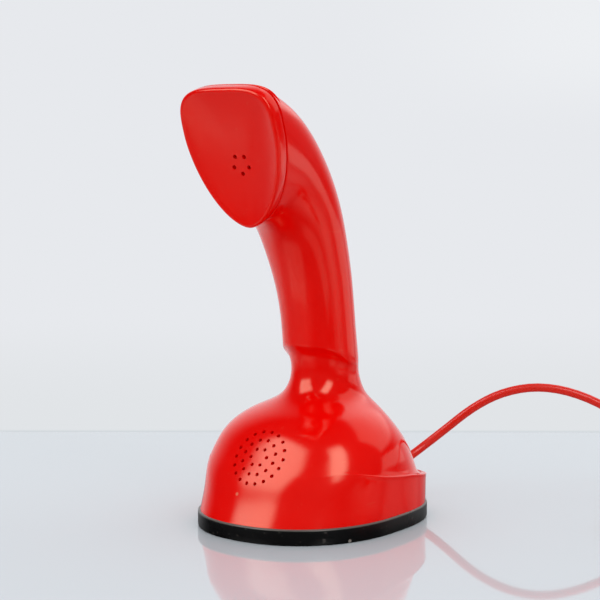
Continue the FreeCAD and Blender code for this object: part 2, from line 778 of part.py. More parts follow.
def make_hook_button():
    """Round button that the table presses in."""
    top = BUTTON_RECESS + BUTTON_THICK
    disc = cylinder(BUTTON_RADIUS, BUTTON_RECESS, top)
    disc = disc.makeFillet(0.8, [edge for edge in disc.Edges if edge.BoundBox.ZMax < BUTTON_RECESS + 0.01])
    boss = cylinder(COLLAR_RADIUS, top, top + BOSS_HEIGHT)
    seat = cylinder(ROD_RADIUS + RUN_CLEAR, top, top + BOSS_HEIGHT)
    return disc.fuse(boss).cut(seat)


def make_hook_rod():
    """Plunger rod with the collar that works the switch."""
    low = BUTTON_RECESS + BUTTON_THICK
    rod = cylinder(ROD_RADIUS, low, COLLAR_TOP + 1.5)
    return rod.fuse(cylinder(COLLAR_RADIUS, COLLAR_BOTTOM, COLLAR_TOP))


def make_hook_spring():
    """Compression spring between the collar and the bridge."""
    radius = ROD_RADIUS + SPRING_WIRE
    low = COLLAR_TOP + SPRING_WIRE / 2
    height = SPRING_LENGTH - SPRING_WIRE
    path = Part.Wire(Part.makeHelix(height / SPRING_TURNS, height, radius).Edges)
    circle = Part.makeCircle(SPRING_WIRE / 2, Vector(radius, 0, 0), Vector(0, 1, 0))
    coil = path.makePipeShell([Part.Wire([circle])], True, True)
    coil.translate(Vector(0, 0, low))
    return coil


def make_guide_tube():
    """Fixed tube between the plunger rod and the dial's hollow shaft."""
    body = cylinder(GUIDE_RADIUS, GUIDE_BOTTOM, GUIDE_FLANGE_TOP)
    body = body.fuse(cylinder(GUIDE_RADIUS + 3.0, TOP_PLATE_TOP, GUIDE_FLANGE_TOP))
    return body.cut(cylinder(GUIDE_BORE, GUIDE_BOTTOM, GUIDE_FLANGE_TOP))


def make_dial_shaft():
    """Hollow shaft that carries the finger wheel, the main gear and the pulse cam."""
    return tube(SHAFT_RADIUS, SHAFT_BORE, WHEEL_TOP, SHAFT_TOP)


def make_dial_bush():
    """Flanged bush in the base plate."""
    bush = tube(BUSH_RADIUS, BUSH_BORE, PLATE_BOTTOM, PLATE_TOP + 1.5)
    return bush.fuse(tube(BUSH_RADIUS + BUSH_FLANGE, BUSH_BORE, PLATE_TOP, PLATE_TOP + 1.5))


def make_main_gear():
    """Large gear on the dial's shaft."""
    return gear(MAIN_TEETH, SHAFT_RADIUS, GEAR_BOTTOM, GEAR_TOP, Vector(0, 0, 0), 90)


def make_pulse_cam():
    """Ten-lobed cam on the dial's shaft."""
    cam = tube(CAM_RADIUS, SHAFT_RADIUS, CAM_BOTTOM, CAM_TOP)
    notches = []
    for k in range(FINGER_HOLE_COUNT):
        angle = math.radians(36.0 * (k + 0.5))
        x = (CAM_RADIUS + 1.0) * math.cos(angle)
        y = (CAM_RADIUS + 1.0) * math.sin(angle)
        notches.append(cylinder(1.0 + CAM_LOBE, CAM_BOTTOM, CAM_TOP, x, y))
    return cam.cut(notches)


def make_mainspring():
    """Flat spiral spring in its cup, wound about the dial's shaft."""
    inner = SHAFT_RADIUS + 0.4
    outer = SPRING_CUP_RADIUS - SPRING_CUP_WALL - MAINSPRING_STRIP - 0.1
    low = TOP_PLATE_BOTTOM - 2.6 - MAINSPRING_HEIGHT
    edges = []
    for offset in (0.0, MAINSPRING_STRIP):
        points = []
        for k in range(12 * MAINSPRING_TURNS + 1):
            angle = 2 * math.pi * k / 12
            radius = inner + (outer - inner) * k / (12 * MAINSPRING_TURNS) + offset
            points.append(Vector(radius * math.cos(angle), radius * math.sin(angle), low))
        curve = Part.BSplineCurve()
        curve.interpolate(points)
        edges.append(curve.toShape())
    first, second = edges
    ends = zip(first.ParameterRange, second.ParameterRange)
    caps = [Part.makeLine(first.valueAt(p), second.valueAt(q)) for p, q in ends]
    face = Part.Face(Part.Wire(Part.__sortEdges__([first, second] + caps)))
    return face.extrude(Vector(0, 0, MAINSPRING_HEIGHT))


def make_spring_cup():
    """Cup under the top plate that holds the mainspring's outer end."""
    low = TOP_PLATE_BOTTOM - 2.6 - MAINSPRING_HEIGHT - 0.4
    return tube(SPRING_CUP_RADIUS, SPRING_CUP_RADIUS - SPRING_CUP_WALL, low, TOP_PLATE_BOTTOM)


def arbor(place, low, high):
    """Spindle with a thin pivot at each end, in the two plates."""
    body = cylinder(ARBOR_RADIUS, low, high, place.x, place.y)
    pivot = cylinder(PIVOT_RADIUS, low - PIVOT_LENGTH, high + PIVOT_LENGTH, place.x, place.y)
    return body.fuse(pivot)


def make_middle_arbor():
    """Spindle of the step-up gears."""
    return arbor(MIDDLE_PLACE, PLATE_TOP + 0.1, TOP_PLATE_BOTTOM - 0.1)


def make_middle_pinion():
    """Pinion driven by the main gear."""
    half_step = 180.0 / PINION_TEETH
    bottom = GEAR_BOTTOM - 0.4
    return gear(PINION_TEETH, ARBOR_RADIUS, bottom, GEAR_TOP + 0.4, MIDDLE_PLACE, -90 + half_step)


def make_middle_gear():
    """Gear that drives the governor."""
    top = SECOND_BOTTOM + SECOND_THICK
    return gear(WHEEL_TEETH, ARBOR_RADIUS, SECOND_BOTTOM, top, MIDDLE_PLACE, GOVERNOR_ANGLE)


def make_governor_arbor():
    """Spindle of the speed governor."""
    return arbor(GOVERNOR_PLACE, PLATE_TOP + 0.1, TOP_PLATE_BOTTOM - 0.1)


def make_governor_pinion():
    """Pinion on the governor's spindle."""
    half_step = 180.0 / PINION_TEETH
    top = SECOND_BOTTOM + SECOND_THICK + 0.4
    turn = GOVERNOR_ANGLE + 180 + half_step
    return gear(PINION_TEETH, ARBOR_RADIUS, SECOND_BOTTOM - 0.4, top, GOVERNOR_PLACE, turn)


def make_governor_fly():
    """Two weighted arms on the governor's spindle."""
    low = TOP_PLATE_BOTTOM - 5.0
    high = low + 3.0
    reach = GOVERNOR_RADIUS
    fly = block((-reach, reach), (-1.5, 1.5), (low, high)).common(cylinder(reach, low, high))
    fly = fly.fuse(cylinder(ARBOR_RADIUS + 1.5, low, high)).cut(cylinder(ARBOR_RADIUS, low, high))
    fly.translate(GOVERNOR_PLACE)
    return fly


def make_governor_cup():
    """Brake cup round the governor's arms."""
    inner = GOVERNOR_RADIUS + GOVERNOR_CLEAR
    outer = inner + GOVERNOR_CUP_WALL
    low = TOP_PLATE_BOTTOM - 6.0
    return tube(outer, inner, low, TOP_PLATE_BOTTOM, GOVERNOR_PLACE.x, GOVERNOR_PLACE.y)


def make_pillars():
    """Pillars between the base plate and the mechanism's top plate."""
    solids = [cylinder(PILLAR_RADIUS, PLATE_TOP, TOP_PLATE_BOTTOM, x, y) for x, y in PILLARS]
    return Part.makeCompound(solids)


def make_top_plate():
    """Top plate of the dial mechanism."""
    plate = block((-27, 27), (-17, 35), (TOP_PLATE_BOTTOM, TOP_PLATE_TOP))
    corners = [edge for edge in plate.Edges if edge.BoundBox.ZLength > TOP_PLATE_THICK / 2]
    plate = plate.makeFillet(7.0, corners)
    holes = [cylinder(GUIDE_RADIUS + RUN_CLEAR, TOP_PLATE_BOTTOM, TOP_PLATE_TOP)]
    for place in (MIDDLE_PLACE, GOVERNOR_PLACE):
        holes.append(cylinder(PIVOT_RADIUS + RUN_CLEAR, TOP_PLATE_BOTTOM, TOP_PLATE_TOP, place.x, place.y))
    return plate.cut(holes)


def make_pulse_block():
    """Insulating block that carries the pulse contacts."""
    return block((-30, -24), (-3, 5), (PLATE_TOP, CAM_TOP + 1.0))


def make_pulse_leaves():
    """Two leaf springs beside the pulse cam."""
    solids = []
    middle = (CAM_BOTTOM + CAM_TOP) / 2
    for y in (-1.0, 2.5):
        tip = -math.sqrt((CAM_RADIUS + 0.5) ** 2 - min(abs(y), abs(y + LEAF_THICK)) ** 2)
        z_range = (middle - LEAF_HEIGHT / 2, middle + LEAF_HEIGHT / 2)
        solids.append(block((-24, tip), (y, y + LEAF_THICK), z_range))
    return Part.makeCompound(solids)


def make_switch_bridge():
    """Bridge over the plunger that the hook spring pushes against."""
    solids = []
    for low, high in ((-12.5, -9.5), (9.5, 12.5)):
        solids.append(block((low, high), (-4, 4), (TOP_PLATE_TOP, BRIDGE_BOTTOM)))
    beam = block((-12.5, 12.5), (-4, 4), (BRIDGE_BOTTOM, BRIDGE_BOTTOM + 2.0))
    return beam.fuse(solids)


def make_switch_block():
    """Insulating block of the hook switch."""
    return block((-5, 5), (14, 20), (TOP_PLATE_TOP, COLLAR_TOP + 3.0))


def make_switch_leaves():
    """Contact leaves over the plunger's collar."""
    solids = []
    for lift, tip in ((0.4, ROD_RADIUS + 2 * SPRING_WIRE + 0.3), (1.8, COLLAR_RADIUS + 1.5)):
        low = COLLAR_TOP + lift
        solids.append(block((-2.5, 2.5), (tip, 14), (low, low + LEAF_THICK)))
    return Part.makeCompound(solids)


def make_circuit_board():
    """Board with the speech circuit."""
    half = BOARD_WIDTH / 2
    return block((-half, half), (BOARD_FRONT, BOARD_REAR), (BOARD_BOTTOM, BOARD_TOP))


def make_board_standoffs():
    """Standoffs between the mechanism's top plate and the board."""
    return Part.makeCompound([cylinder(2.2, TOP_PLATE_TOP, BOARD_BOTTOM, x, y) for x, y in STANDOFFS])


def make_induction_coil():
    """Wound induction coil on the board, with its iron core."""
    coil = block((-18, -6), (13, 25), (BOARD_TOP, BOARD_TOP + 9))
    return coil.fuse(block((-19, -5), (16, 22), (BOARD_TOP, BOARD_TOP + 7)))


def make_capacitor():
    """Line capacitor lying on the board."""
    return Part.makeCylinder(4.5, 15, Vector(11, 12, BOARD_TOP + 4.5), Vector(0, 1, 0))


def make_transmitter():
    """Carbon microphone capsule behind the grille."""
    flange = TRANSMITTER_RADIUS + 0.5 + MIC_TUBE_WALL
    seat = -MIC_TUBE_DEPTH - GASKET_THICK
    body = cylinder(TRANSMITTER_RADIUS, seat, seat + 3.0)
    body = body.fuse(cylinder(flange, seat - CAPSULE_FLANGE, seat))
    body = body.fuse(cylinder(TRANSMITTER_RADIUS - 2.0, -TRANSMITTER_DEPTH - 5.0, seat - CAPSULE_FLANGE))
    return placed(body, MIC_FRAME)


def make_transmitter_gasket():
    """Rubber seal between the capsule and the case."""
    outer = TRANSMITTER_RADIUS + 0.5 + MIC_TUBE_WALL
    low = -MIC_TUBE_DEPTH - GASKET_THICK
    return placed(tube(outer, outer - MIC_TUBE_WALL, low, -MIC_TUBE_DEPTH), MIC_FRAME)


def make_transmitter_bracket():
    """Backing plate that stands on the base plate and presses the capsule forward."""
    back = -TRANSMITTER_DEPTH - 5.0
    radius = TRANSMITTER_RADIUS + 1.0
    plate = cylinder(radius, back - BRACKET_THICK, back)
    plate = plate.fuse(block((-10, 10), (-40, -8), (back - BRACKET_THICK, back)))
    above = block((-60, 60), (-80, 20), (PLATE_TOP, PLATE_TOP + 80))
    return placed(plate, MIC_FRAME).common(above)


def make_receiver():
    """Earphone capsule behind the ear cap."""
    front = CAP_DEPTH - DISH_DEPTH - CAP_FLOOR - GASKET_THICK
    return placed(cylinder(RECEIVER_RADIUS, front - RECEIVER_DEPTH, front), EAR_FRAME)


def make_receiver_gasket():
    """Rubber seal between the ear cap and its capsule."""
    back = CAP_DEPTH - DISH_DEPTH - CAP_FLOOR
    return placed(tube(RECEIVER_RADIUS - 1.0, 9.0, back - GASKET_THICK, back), EAR_FRAME)


def make_receiver_clip():
    """Sprung strap that holds the capsule to the ear cap."""
    back = CAP_DEPTH - DISH_DEPTH - CAP_FLOOR
    rear = back - GASKET_THICK - RECEIVER_DEPTH
    inner = RECEIVER_RADIUS + 0.3
    outer = inner + CLIP_THICK
    across = (-CLIP_WIDTH / 2, CLIP_WIDTH / 2)
    clip = block((-outer, outer), across, (rear - CLIP_THICK, rear))
    for low, high in ((-outer, -inner), (inner, outer)):
        clip = clip.fuse(block((low, high), across, (rear - CLIP_THICK, back)))
    return placed(clip, EAR_FRAME)


def make_strain_relief():
    """Moulded strain relief of the line cord in the back of the case."""
    along = Vector(0, 1, 0)
    skirt_back = BASE_REAR - LEDGE_STEP
    inside_end = Vector(0, RELIEF_INSIDE, CORD_Z)
    core = Part.makeCylinder(RELIEF_RADIUS, skirt_back - RELIEF_INSIDE, inside_end, along)
    flange = Part.makeCylinder(RELIEF_FLANGE, RELIEF_FLANGE_THICK, Vector(0, skirt_back, CORD_Z), along)
    start = skirt_back + RELIEF_FLANGE_THICK
    tail_radius = CORD_DIAMETER / 2 + 0.6
    tail_start = Vector(0, start, CORD_Z)
    tail = Part.makeCone(RELIEF_RADIUS + 0.3, tail_radius, RELIEF_END - start, tail_start, along)
    return core.fuse([flange, tail])


def make_cord_tail():
    """End of the line cord inside the case, from the strain relief to the terminals."""
    length = RELIEF_INSIDE - TERMINAL_REAR
    return Part.makeCylinder(CORD_DIAMETER / 2, length, Vector(0, TERMINAL_REAR, CORD_Z), Vector(0, 1, 0))


def make_terminal_block():
    """Terminals of the line cord on the base plate."""
    half = TERMINAL_WIDTH / 2
    body = block((-half, half), (TERMINAL_FRONT, TERMINAL_REAR), (PLATE_TOP, PLATE_TOP + TERMINAL_HEIGHT))
    middle = (TERMINAL_FRONT + TERMINAL_REAR) / 2
    top = PLATE_TOP + TERMINAL_HEIGHT
    wells = [cylinder(1.6, top - 3, top, x, middle) for x in (-6.0, 0.0, 6.0)]
    return body.cut(wells)


def rounded_path(points):
    """Straight runs joined by tangent arcs as large as the runs allow, with the arcs' radii."""
    edges = []
    radii = []
    start = points[0]
    for before, corner, after in zip(points, points[1:], points[2:]):
        back = before - corner
        ahead = after - corner
        reach = 0.45 * min(back.Length, ahead.Length)
        turn = math.pi - back.getAngle(ahead)
        radius = reach / math.tan(turn / 2)
        back.normalize()
        ahead.normalize()
        enter = corner + back * reach
        leave = corner + ahead * reach
        inward = back + ahead
        inward.normalize()
        middle = corner + inward * (radius / math.cos(turn / 2) - radius)
        edges.append(Part.LineSegment(start, enter).toShape())
        edges.append(Part.Arc(enter, middle, leave).toShape())
        radii.append(radius)
        start = leave
    edges.append(Part.LineSegment(start, points[-1]).toShape())
    return Part.Wire(edges), radii


def sweep(path, diameter):
    """Round tube along a tangent path."""
    first = path.Edges[0]
    start = first.valueAt(first.FirstParameter)
    heading = first.tangentAt(first.FirstParameter)
    circle = Part.Wire([Part.makeCircle(diameter / 2, start, heading)])
    return path.makePipeShell([circle], True, False)


def report_tube(name, shape, path, diameter):
    """Print the tube's length and how its volume compares with section times length."""
    expected = math.pi * diameter**2 / 4 * path.Length
    print(f"{name}: length {path.Length:.0f} mm, volume ratio {shape.Volume / expected:.4f}")


def make_line_cord():
    """Free stretch of the line cord."""
    last = [coil_start(COIL_APPROACH), coil_start()]
    path, radii = rounded_path([Vector(*point) for point in CORD_ROUTE] + last)
    cord = sweep(path, CORD_DIAMETER)
    print("line_cord radii:", " ".join(f"{radius:.0f}" for radius in radii))
    report_tube("line_cord", cord, path, CORD_DIAMETER)
    return cord


def make_receiver_lead():
    """Lead from the earphone capsule down the grip to the board."""
    back = CAP_DEPTH - DISH_DEPTH - CAP_FLOOR - GASKET_THICK - RECEIVER_DEPTH
    first = [EAR_FRAME.multVec(Vector(0, -9, depth)) for depth in (back, back - LEAD_START)]
    end = Vector(0, LEAD_ROUTE[-1][0], BOARD_TOP)
    points = first + [Vector(0, y, z) for y, z in LEAD_ROUTE] + [end]
    path, radii = rounded_path(points)
    lead = sweep(path, LEAD_DIAMETER)
    print("receiver_lead radii:", " ".join(f"{radius:.0f}" for radius in radii))
    report_tube("receiver_lead", lead, path, LEAD_DIAMETER)
    return lead


def coil_frame(point):
    """A point of the coil's own frame carried to its place beside the telephone."""
    turned = Rotation(Vector(0, 0, 1), COIL_HEADING).multVec(point)
    return turned + COIL_CENTRE


def half_turn(x, reach, z):
    """Start, crown and end of a level half turn from x; a negative reach turns the other way."""
    return Vector(x, 0, z), Vector(x + reach, reach, z), Vector(x + 2 * reach, 0, z)


def coil_points():
    """Through points of the coil's arcs: half turns inward, a climb, half turns outward."""
    arcs = []
    x = -COIL_OUTER_RADIUS
    side = 1
    radii = [COIL_OUTER_RADIUS - COIL_PITCH * (k + 0.5) / 2 for k in range(2 * COIL_TURNS)]
    for radius in radii:
        arcs.append(half_turn(x, side * radius, COIL_LOW))
        x += 2 * side * radius
        side = -side
    climb = COIL_HIGH - COIL_LOW
    radius = COIL_CLIMB_RADIUS
    crown = math.sqrt(radius**2 + climb**2 / 4)
    centre = x + side * radius
    corner_start = Vector(x, 0, COIL_LOW)
    corner = Vector(centre, side * crown, COIL_LOW + climb / 2)
    corner_end = Vector(x + 2 * side * radius, 0, COIL_HIGH)
    arcs.append((corner_start, arc_middle(corner_start, Vector(0, side, 0), corner), corner))
    arcs.append((corner, arc_middle(corner_end, Vector(0, side, 0), corner), corner_end))
    x += 2 * side * radius
    side = -side
    for radius in reversed(radii[1:]):
        arcs.append(half_turn(x, side * radius, COIL_HIGH))
        x += 2 * side * radius
        side = -side
    return arcs


def arc_middle(start, tangent, end):
    """Middle point of the arc from start, leaving along tangent, to end."""
    chord = end - start
    half = chord.Length / 2
    chord.normalize()
    lean = tangent.getAngle(chord)
    across = tangent - chord * tangent.dot(chord)
    across.normalize()
    sag = half * math.tan(lean / 2)
    return start + chord * half + across * sag


def coil_start(before=0.0):
    """Point where the free stretch meets the coil, or one in line with it that far before."""
    first = coil_points()[0][0]
    return coil_frame(first - Vector(0, CORD_DIAMETER + before, 0))


def coil_end():
    """Point where the coil meets the plug, with the cord's heading there."""
    last = coil_points()[-1][2]
    heading = Rotation(Vector(0, 0, 1), COIL_HEADING).multVec(Vector(0, 1, 0))
    return coil_frame(last + Vector(0, COIL_TAIL, 0)), heading


def make_cord_coil():
    """Rest of the line cord, coiled in two layers as one unbroken tube."""
    arcs = [[coil_frame(point) for point in arc] for arc in coil_points()]
    end, heading = coil_end()
    edges = [Part.LineSegment(coil_start(), arcs[0][0]).toShape()]
    edges += [Part.Arc(*arc).toShape() for arc in arcs]
    edges.append(Part.LineSegment(arcs[-1][2], end).toShape())
    path = Part.Wire(edges)
    coil = sweep(path, CORD_DIAMETER)
    report_tube("cord_coil", coil, path, CORD_DIAMETER)
    print(f"cord_coil least gap: {least_gap(path):.2f} mm")
    return coil


def least_gap(path):
    """Least gap between two stretches of the coil, measured on points along its middle."""
    step = 2.0
    points = path.discretize(Distance=step)
    apart = int(3 * CORD_DIAMETER / step)
    gap = math.inf
    for k, point in enumerate(points):
        for other in points[k + apart :]:
            gap = min(gap, point.distanceToPoint(other))
    return gap - CORD_DIAMETER


def make_cord_ties():
    """Two bands round the coil."""
    low_radius = COIL_CLIMB_RADIUS - COIL_PITCH / 2 - CORD_DIAMETER / 2 - TIE_CLEAR
    high_radius = COIL_OUTER_RADIUS + CORD_DIAMETER / 2 + TIE_CLEAR
    top = COIL_HIGH + CORD_DIAMETER / 2 + TIE_CLEAR
    solids = []
    for angle in (50.0, 130.0):
        reach = (low_radius - TIE_THICK, high_radius + TIE_THICK)
        outer = block(reach, (-TIE_WIDTH / 2, TIE_WIDTH / 2), (0, top + TIE_THICK))
        inner = block((low_radius, high_radius), (-TIE_WIDTH, TIE_WIDTH), (TIE_THICK, top))
        band = outer.cut(inner)
        band.rotate(Vector(0, 0, 0), Vector(0, 0, 1), angle + COIL_HEADING)
        band.translate(COIL_CENTRE)
        solids.append(band)
    return Part.makeCompound(solids)


def plug_frame():
    """Placement whose Z axis runs along the cord into the plug."""
    end, heading = coil_end()
    return Placement(end, Rotation(Vector(0, 0, 1).cross(heading), Vector(0, 0, 1), heading, "ZYX"))


def make_plug_body():
    """Generic moulded plug at the cord's end."""
    boot = Part.makeCone(CORD_DIAMETER / 2 + 0.8, CORD_DIAMETER / 2 + 2.4, 9.0)
    half_width = PLUG_WIDTH / 2
    half_height = PLUG_HEIGHT / 2
    body = block((-half_width, half_width), (-half_height, half_height), (9.0, 9.0 + PLUG_LENGTH))
    body = body.makeFillet(2.5, [edge for edge in body.Edges if edge.BoundBox.ZLength > PLUG_LENGTH / 2])
    return placed(body.fuse(boot), plug_frame())


def make_plug_pins():
    """Round pins of the plug."""
    start = 9.0 + PLUG_LENGTH
    pins = []
    for x in (-PIN_SPACING / 2, PIN_SPACING / 2):
        pin = cylinder(PIN_RADIUS, start, start + PIN_LENGTH, x)
        tip = start + PIN_LENGTH - 0.01
        pin = pin.makeFillet(0.8, [edge for edge in pin.Edges if edge.BoundBox.ZMin > tip])
        pins.append(placed(pin, plug_frame()))
    return Part.makeCompound(pins)


NODES = {
    "case_shell": make_case,
    "earpiece_cap": make_ear_cap,
    "foot_ring": make_foot_ring,
    "base_plate": make_base_plate,
    "base_screws": make_base_screws,
    "number_plate": make_number_plate,
    "finger_wheel": make_finger_wheel,
    "finger_stop": make_finger_stop,
    "hook_button": make_hook_button,
    "hook_rod": make_hook_rod,
    "hook_spring": make_hook_spring,
    "guide_tube": make_guide_tube,
    "dial_shaft": make_dial_shaft,
    "dial_bush": make_dial_bush,
    "main_gear": make_main_gear,
    "pulse_cam": make_pulse_cam,
    "mainspring": make_mainspring,
    "spring_cup": make_spring_cup,
    "middle_arbor": make_middle_arbor,
    "middle_pinion": make_middle_pinion,
    "middle_gear": make_middle_gear,
    "governor_arbor": make_governor_arbor,
    "governor_pinion": make_governor_pinion,
    "governor_fly": make_governor_fly,
    "governor_cup": make_governor_cup,
    "pillars": make_pillars,
    "top_plate": make_top_plate,
    "pulse_block": make_pulse_block,
    "pulse_leaves": make_pulse_leaves,
    "switch_bridge": make_switch_bridge,
    "switch_block": make_switch_block,
    "switch_leaves": make_switch_leaves,
    "circuit_board": make_circuit_board,
    "board_standoffs": make_board_standoffs,
    "induction_coil": make_induction_coil,
    "capacitor": make_capacitor,
    "transmitter_capsule": make_transmitter,
    "transmitter_gasket": make_transmitter_gasket,
    "transmitter_bracket": make_transmitter_bracket,
    "receiver_capsule": make_receiver,
    "receiver_gasket": make_receiver_gasket,
    "receiver_clip": make_receiver_clip,
    "receiver_lead": make_receiver_lead,
    "terminal_block": make_terminal_block,
    "cord_tail": make_cord_tail,
    "strain_relief": make_strain_relief,
    "line_cord": make_line_cord,
    "cord_coil": make_cord_coil,
    "cord_ties": make_cord_ties,
    "plug_body": make_plug_body,
    "plug_pins": make_plug_pins,
}


def main():
    """Write one file per piece."""
    os.makedirs("parts", exist_ok=True)
    for name, make in NODES.items():
        shape = make()
        solids = len(shape.Solids)
        print(f"{name}: {solids} solid(s), valid {shape.isValid()}, volume {shape.Volume:.1f}")
        shape.exportStep(f"parts/{name}.step")


main()
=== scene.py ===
"""Dresses the red upright one-piece telephone and stands it on a pale table.

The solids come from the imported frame. The pieces that show are made again here as
smooth surfaces: the case, the ear cap, the foot ring, the strain relief, the dial
and the cord. Every other solid keeps its own mesh and gets a finish.
Lengths of the pieces and of the camera's place are millimetres. Lengths in finishes,
lamps and the table are metres.
"""

from __future__ import annotations

import json
import logging
import math
from dataclasses import dataclass, field
from enum import Enum

import bpy
import numpy as np
from mathutils import Matrix, Vector

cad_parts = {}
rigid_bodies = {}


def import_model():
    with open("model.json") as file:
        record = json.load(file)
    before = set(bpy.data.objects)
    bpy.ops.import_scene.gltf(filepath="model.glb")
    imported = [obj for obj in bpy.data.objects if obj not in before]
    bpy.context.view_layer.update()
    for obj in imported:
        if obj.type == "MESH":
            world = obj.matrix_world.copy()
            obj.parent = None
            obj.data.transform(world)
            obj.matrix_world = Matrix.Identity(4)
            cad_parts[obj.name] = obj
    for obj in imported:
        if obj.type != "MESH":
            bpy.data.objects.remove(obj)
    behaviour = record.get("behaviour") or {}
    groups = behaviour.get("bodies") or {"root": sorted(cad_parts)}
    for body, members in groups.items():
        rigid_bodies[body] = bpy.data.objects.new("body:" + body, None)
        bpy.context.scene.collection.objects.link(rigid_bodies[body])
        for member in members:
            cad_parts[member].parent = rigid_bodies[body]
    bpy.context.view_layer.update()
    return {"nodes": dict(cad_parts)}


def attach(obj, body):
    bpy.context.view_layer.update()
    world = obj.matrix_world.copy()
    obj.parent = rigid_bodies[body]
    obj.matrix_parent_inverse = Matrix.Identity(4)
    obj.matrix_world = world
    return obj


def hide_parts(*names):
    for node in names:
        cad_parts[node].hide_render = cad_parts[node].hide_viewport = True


LOG = logging.getLogger("telephone")
MM = 0.001
SHARP_EDGE = math.radians(50.0)
SHARP_HOLE = math.radians(38.0)
CUTTER_COLUMNS = 20
ACROSS = np.array([1.0, 0.0, 0.0])
REARWARD = np.array([0.0, 1.0, 0.0])
HALF_TURN = np.array([-1.0, -1.0, 1.0])
CREASE = (-8.8, 84.5, 28.3, 76.5, 18.2, 0.5, 2.0, 2.0)
MOUTH = (-39.64, 144.70, -60.60, 206.97, 26.5, 0.68, 1.75, 3.5)
Array = np.ndarray
Object = bpy.types.Object
Node = bpy.types.Node
Socket = bpy.types.NodeSocket
Triple = tuple[float, float, float]
Colour = Triple
Values = tuple[float, ...]
Span = tuple[float, float]
Rows = tuple[Values, ...]
Feed = Socket | float | Values


class Slot(Enum):
    """Material slots named in the record."""

    CASE = "case_red"
    CORD = "cord_red"
    RING = "ring_black"
    PLATE = "plate_grey"
    WHEEL = "wheel_dark"
    DIAL = "dial_pale"
    BUTTON = "button_red"
    STEEL = "steel"
    SPRING = "spring_steel"
    BRASS = "brass"
    INSULATOR = "insulator"
    BOARD = "board_green"
    WINDING = "winding"
    CAPSULE = "capsule_grey"
    SEAL = "seal_black"
    LEAD = "lead_grey"
    TIE = "tie_clear"


NODE_SLOTS: dict[Slot, tuple[str, ...]] = {
    Slot.CORD: ("cord_tail", "plug_body"),
    Slot.PLATE: ("base_plate",),
    Slot.DIAL: ("number_plate",),
    Slot.BUTTON: ("hook_button",),
    Slot.STEEL: (
        "base_screws", "finger_stop", "hook_rod", "dial_shaft", "pulse_cam", "spring_cup",
        "middle_arbor", "middle_pinion", "governor_arbor", "governor_pinion", "pillars",
        "top_plate", "switch_bridge", "transmitter_bracket",
    ),
    Slot.SPRING: ("hook_spring", "mainspring", "receiver_clip"),
    Slot.BRASS: (
        "guide_tube", "dial_bush", "main_gear", "middle_gear", "governor_fly", "governor_cup",
        "pulse_leaves", "switch_leaves", "board_standoffs", "plug_pins",
    ),
    Slot.INSULATOR: ("pulse_block", "switch_block", "terminal_block"),
    Slot.BOARD: ("circuit_board",),
    Slot.WINDING: ("induction_coil",),
    Slot.CAPSULE: ("capacitor", "transmitter_capsule", "receiver_capsule"),
    Slot.SEAL: ("transmitter_gasket", "receiver_gasket"),
    Slot.LEAD: ("receiver_lead",),
    Slot.TIE: ("cord_ties",),
}


def linear(*display: int) -> Colour:
    """Turns display red, green and blue of 0 to 255 into linear light."""
    share = np.array(display) / 255.0
    return tuple(np.where(share <= 0.04045, share / 12.92, ((share + 0.055) / 1.055) ** 2.4).tolist())


def bearing(azimuth: float, elevation: float) -> Triple:
    """Gives the unit vector at degrees round from the front to the right, and degrees up."""
    turn, tilt = math.radians(azimuth), math.radians(elevation)
    return (math.sin(turn) * math.cos(tilt), -math.cos(turn) * math.cos(tilt), math.sin(tilt))


@dataclass(frozen=True)
class Tree:
    """A node tree, with the few nodes that finishes, lamps and stage are made of."""

    tree: bpy.types.NodeTree

    def feed(self, node: Node, feeds: dict[str | int, Feed]) -> None:
        """Links or sets the inputs of a node.

        Args:
            node: The node.
            feeds: For each input, the socket that feeds it or its constant.
        """
        for name, value in feeds.items():
            socket = node.inputs[name]
            if isinstance(value, Socket):
                self.tree.links.new(value, socket)
            elif socket.type == "RGBA":
                socket.default_value = (*value, 1.0)
            else:
                socket.default_value = value

    def add(self, kind: str, feeds: dict[str | int, Feed], **settings: object) -> Node:
        """Adds a node.

        Args:
            kind: Type of the node, without its prefix.
            feeds: For each input, the socket that feeds it or its constant.
            **settings: Properties of the node, set before its inputs.

        Returns:
            The node.
        """
        node = self.tree.nodes.new(f"ShaderNode{kind}")
        for name, value in settings.items():
            setattr(node, name, value)
        self.feed(node, feeds)
        return node

    def ramp(
        self, value: Feed, given: Span, wanted: Span = (0.0, 1.0), shape: str = "SMOOTHSTEP"
    ) -> Socket:
        """Adds a rise from a given span of values to a wanted one."""
        ends = dict(zip(("From Min", "From Max", "To Min", "To Max"), (*given, *wanted)))
        return self.add("MapRange", {"Value": value, **ends}, interpolation_type=shape).outputs["Result"]

    def times(self, first: Feed, second: Feed) -> Socket:
        """Adds the product of two values."""
        return self.add("Math", {0: first, 1: second}, operation="MULTIPLY").outputs[0]

    def mix(self, factor: Feed, first: Feed, second: Feed) -> Socket:
        """Adds a mix of two colours, the first at a factor of 0."""
        feeds = {"Factor": factor, "A": first, "B": second}
        return self.add("Mix", feeds, data_type="RGBA").outputs["Result"]

    def shade(self, factor: Feed, first: Node, second: Node) -> Node:
        """Adds a mix of two shaders, the first at a factor of 0."""
        return self.add("MixShader", {"Fac": factor, 1: first.outputs[0], 2: second.outputs[0]})

    def vector(self, operation: str, place: Feed, other: Triple = (0.0, 0.0, 0.0)) -> Node:
        """Adds an operation on a place and a constant vector."""
        return self.add("VectorMath", {0: place, 1: other}, operation=operation)

    def toward(self, place: Feed, azimuth: float) -> Socket:
        """Adds the reach of a place along a level bearing."""
        return self.vector("DOT_PRODUCT", place, bearing(azimuth, 0.0)).outputs["Value"]


HAIR_TURN: Triple = (0.5, 0.4, 0.9)
HAIR_STRETCH: Triple = (1.0, 0.05, 1.0)
HAIR_CUT: Span = (0.70, 0.78)
SPECK_CUT: Span = (0.13, 0.05)


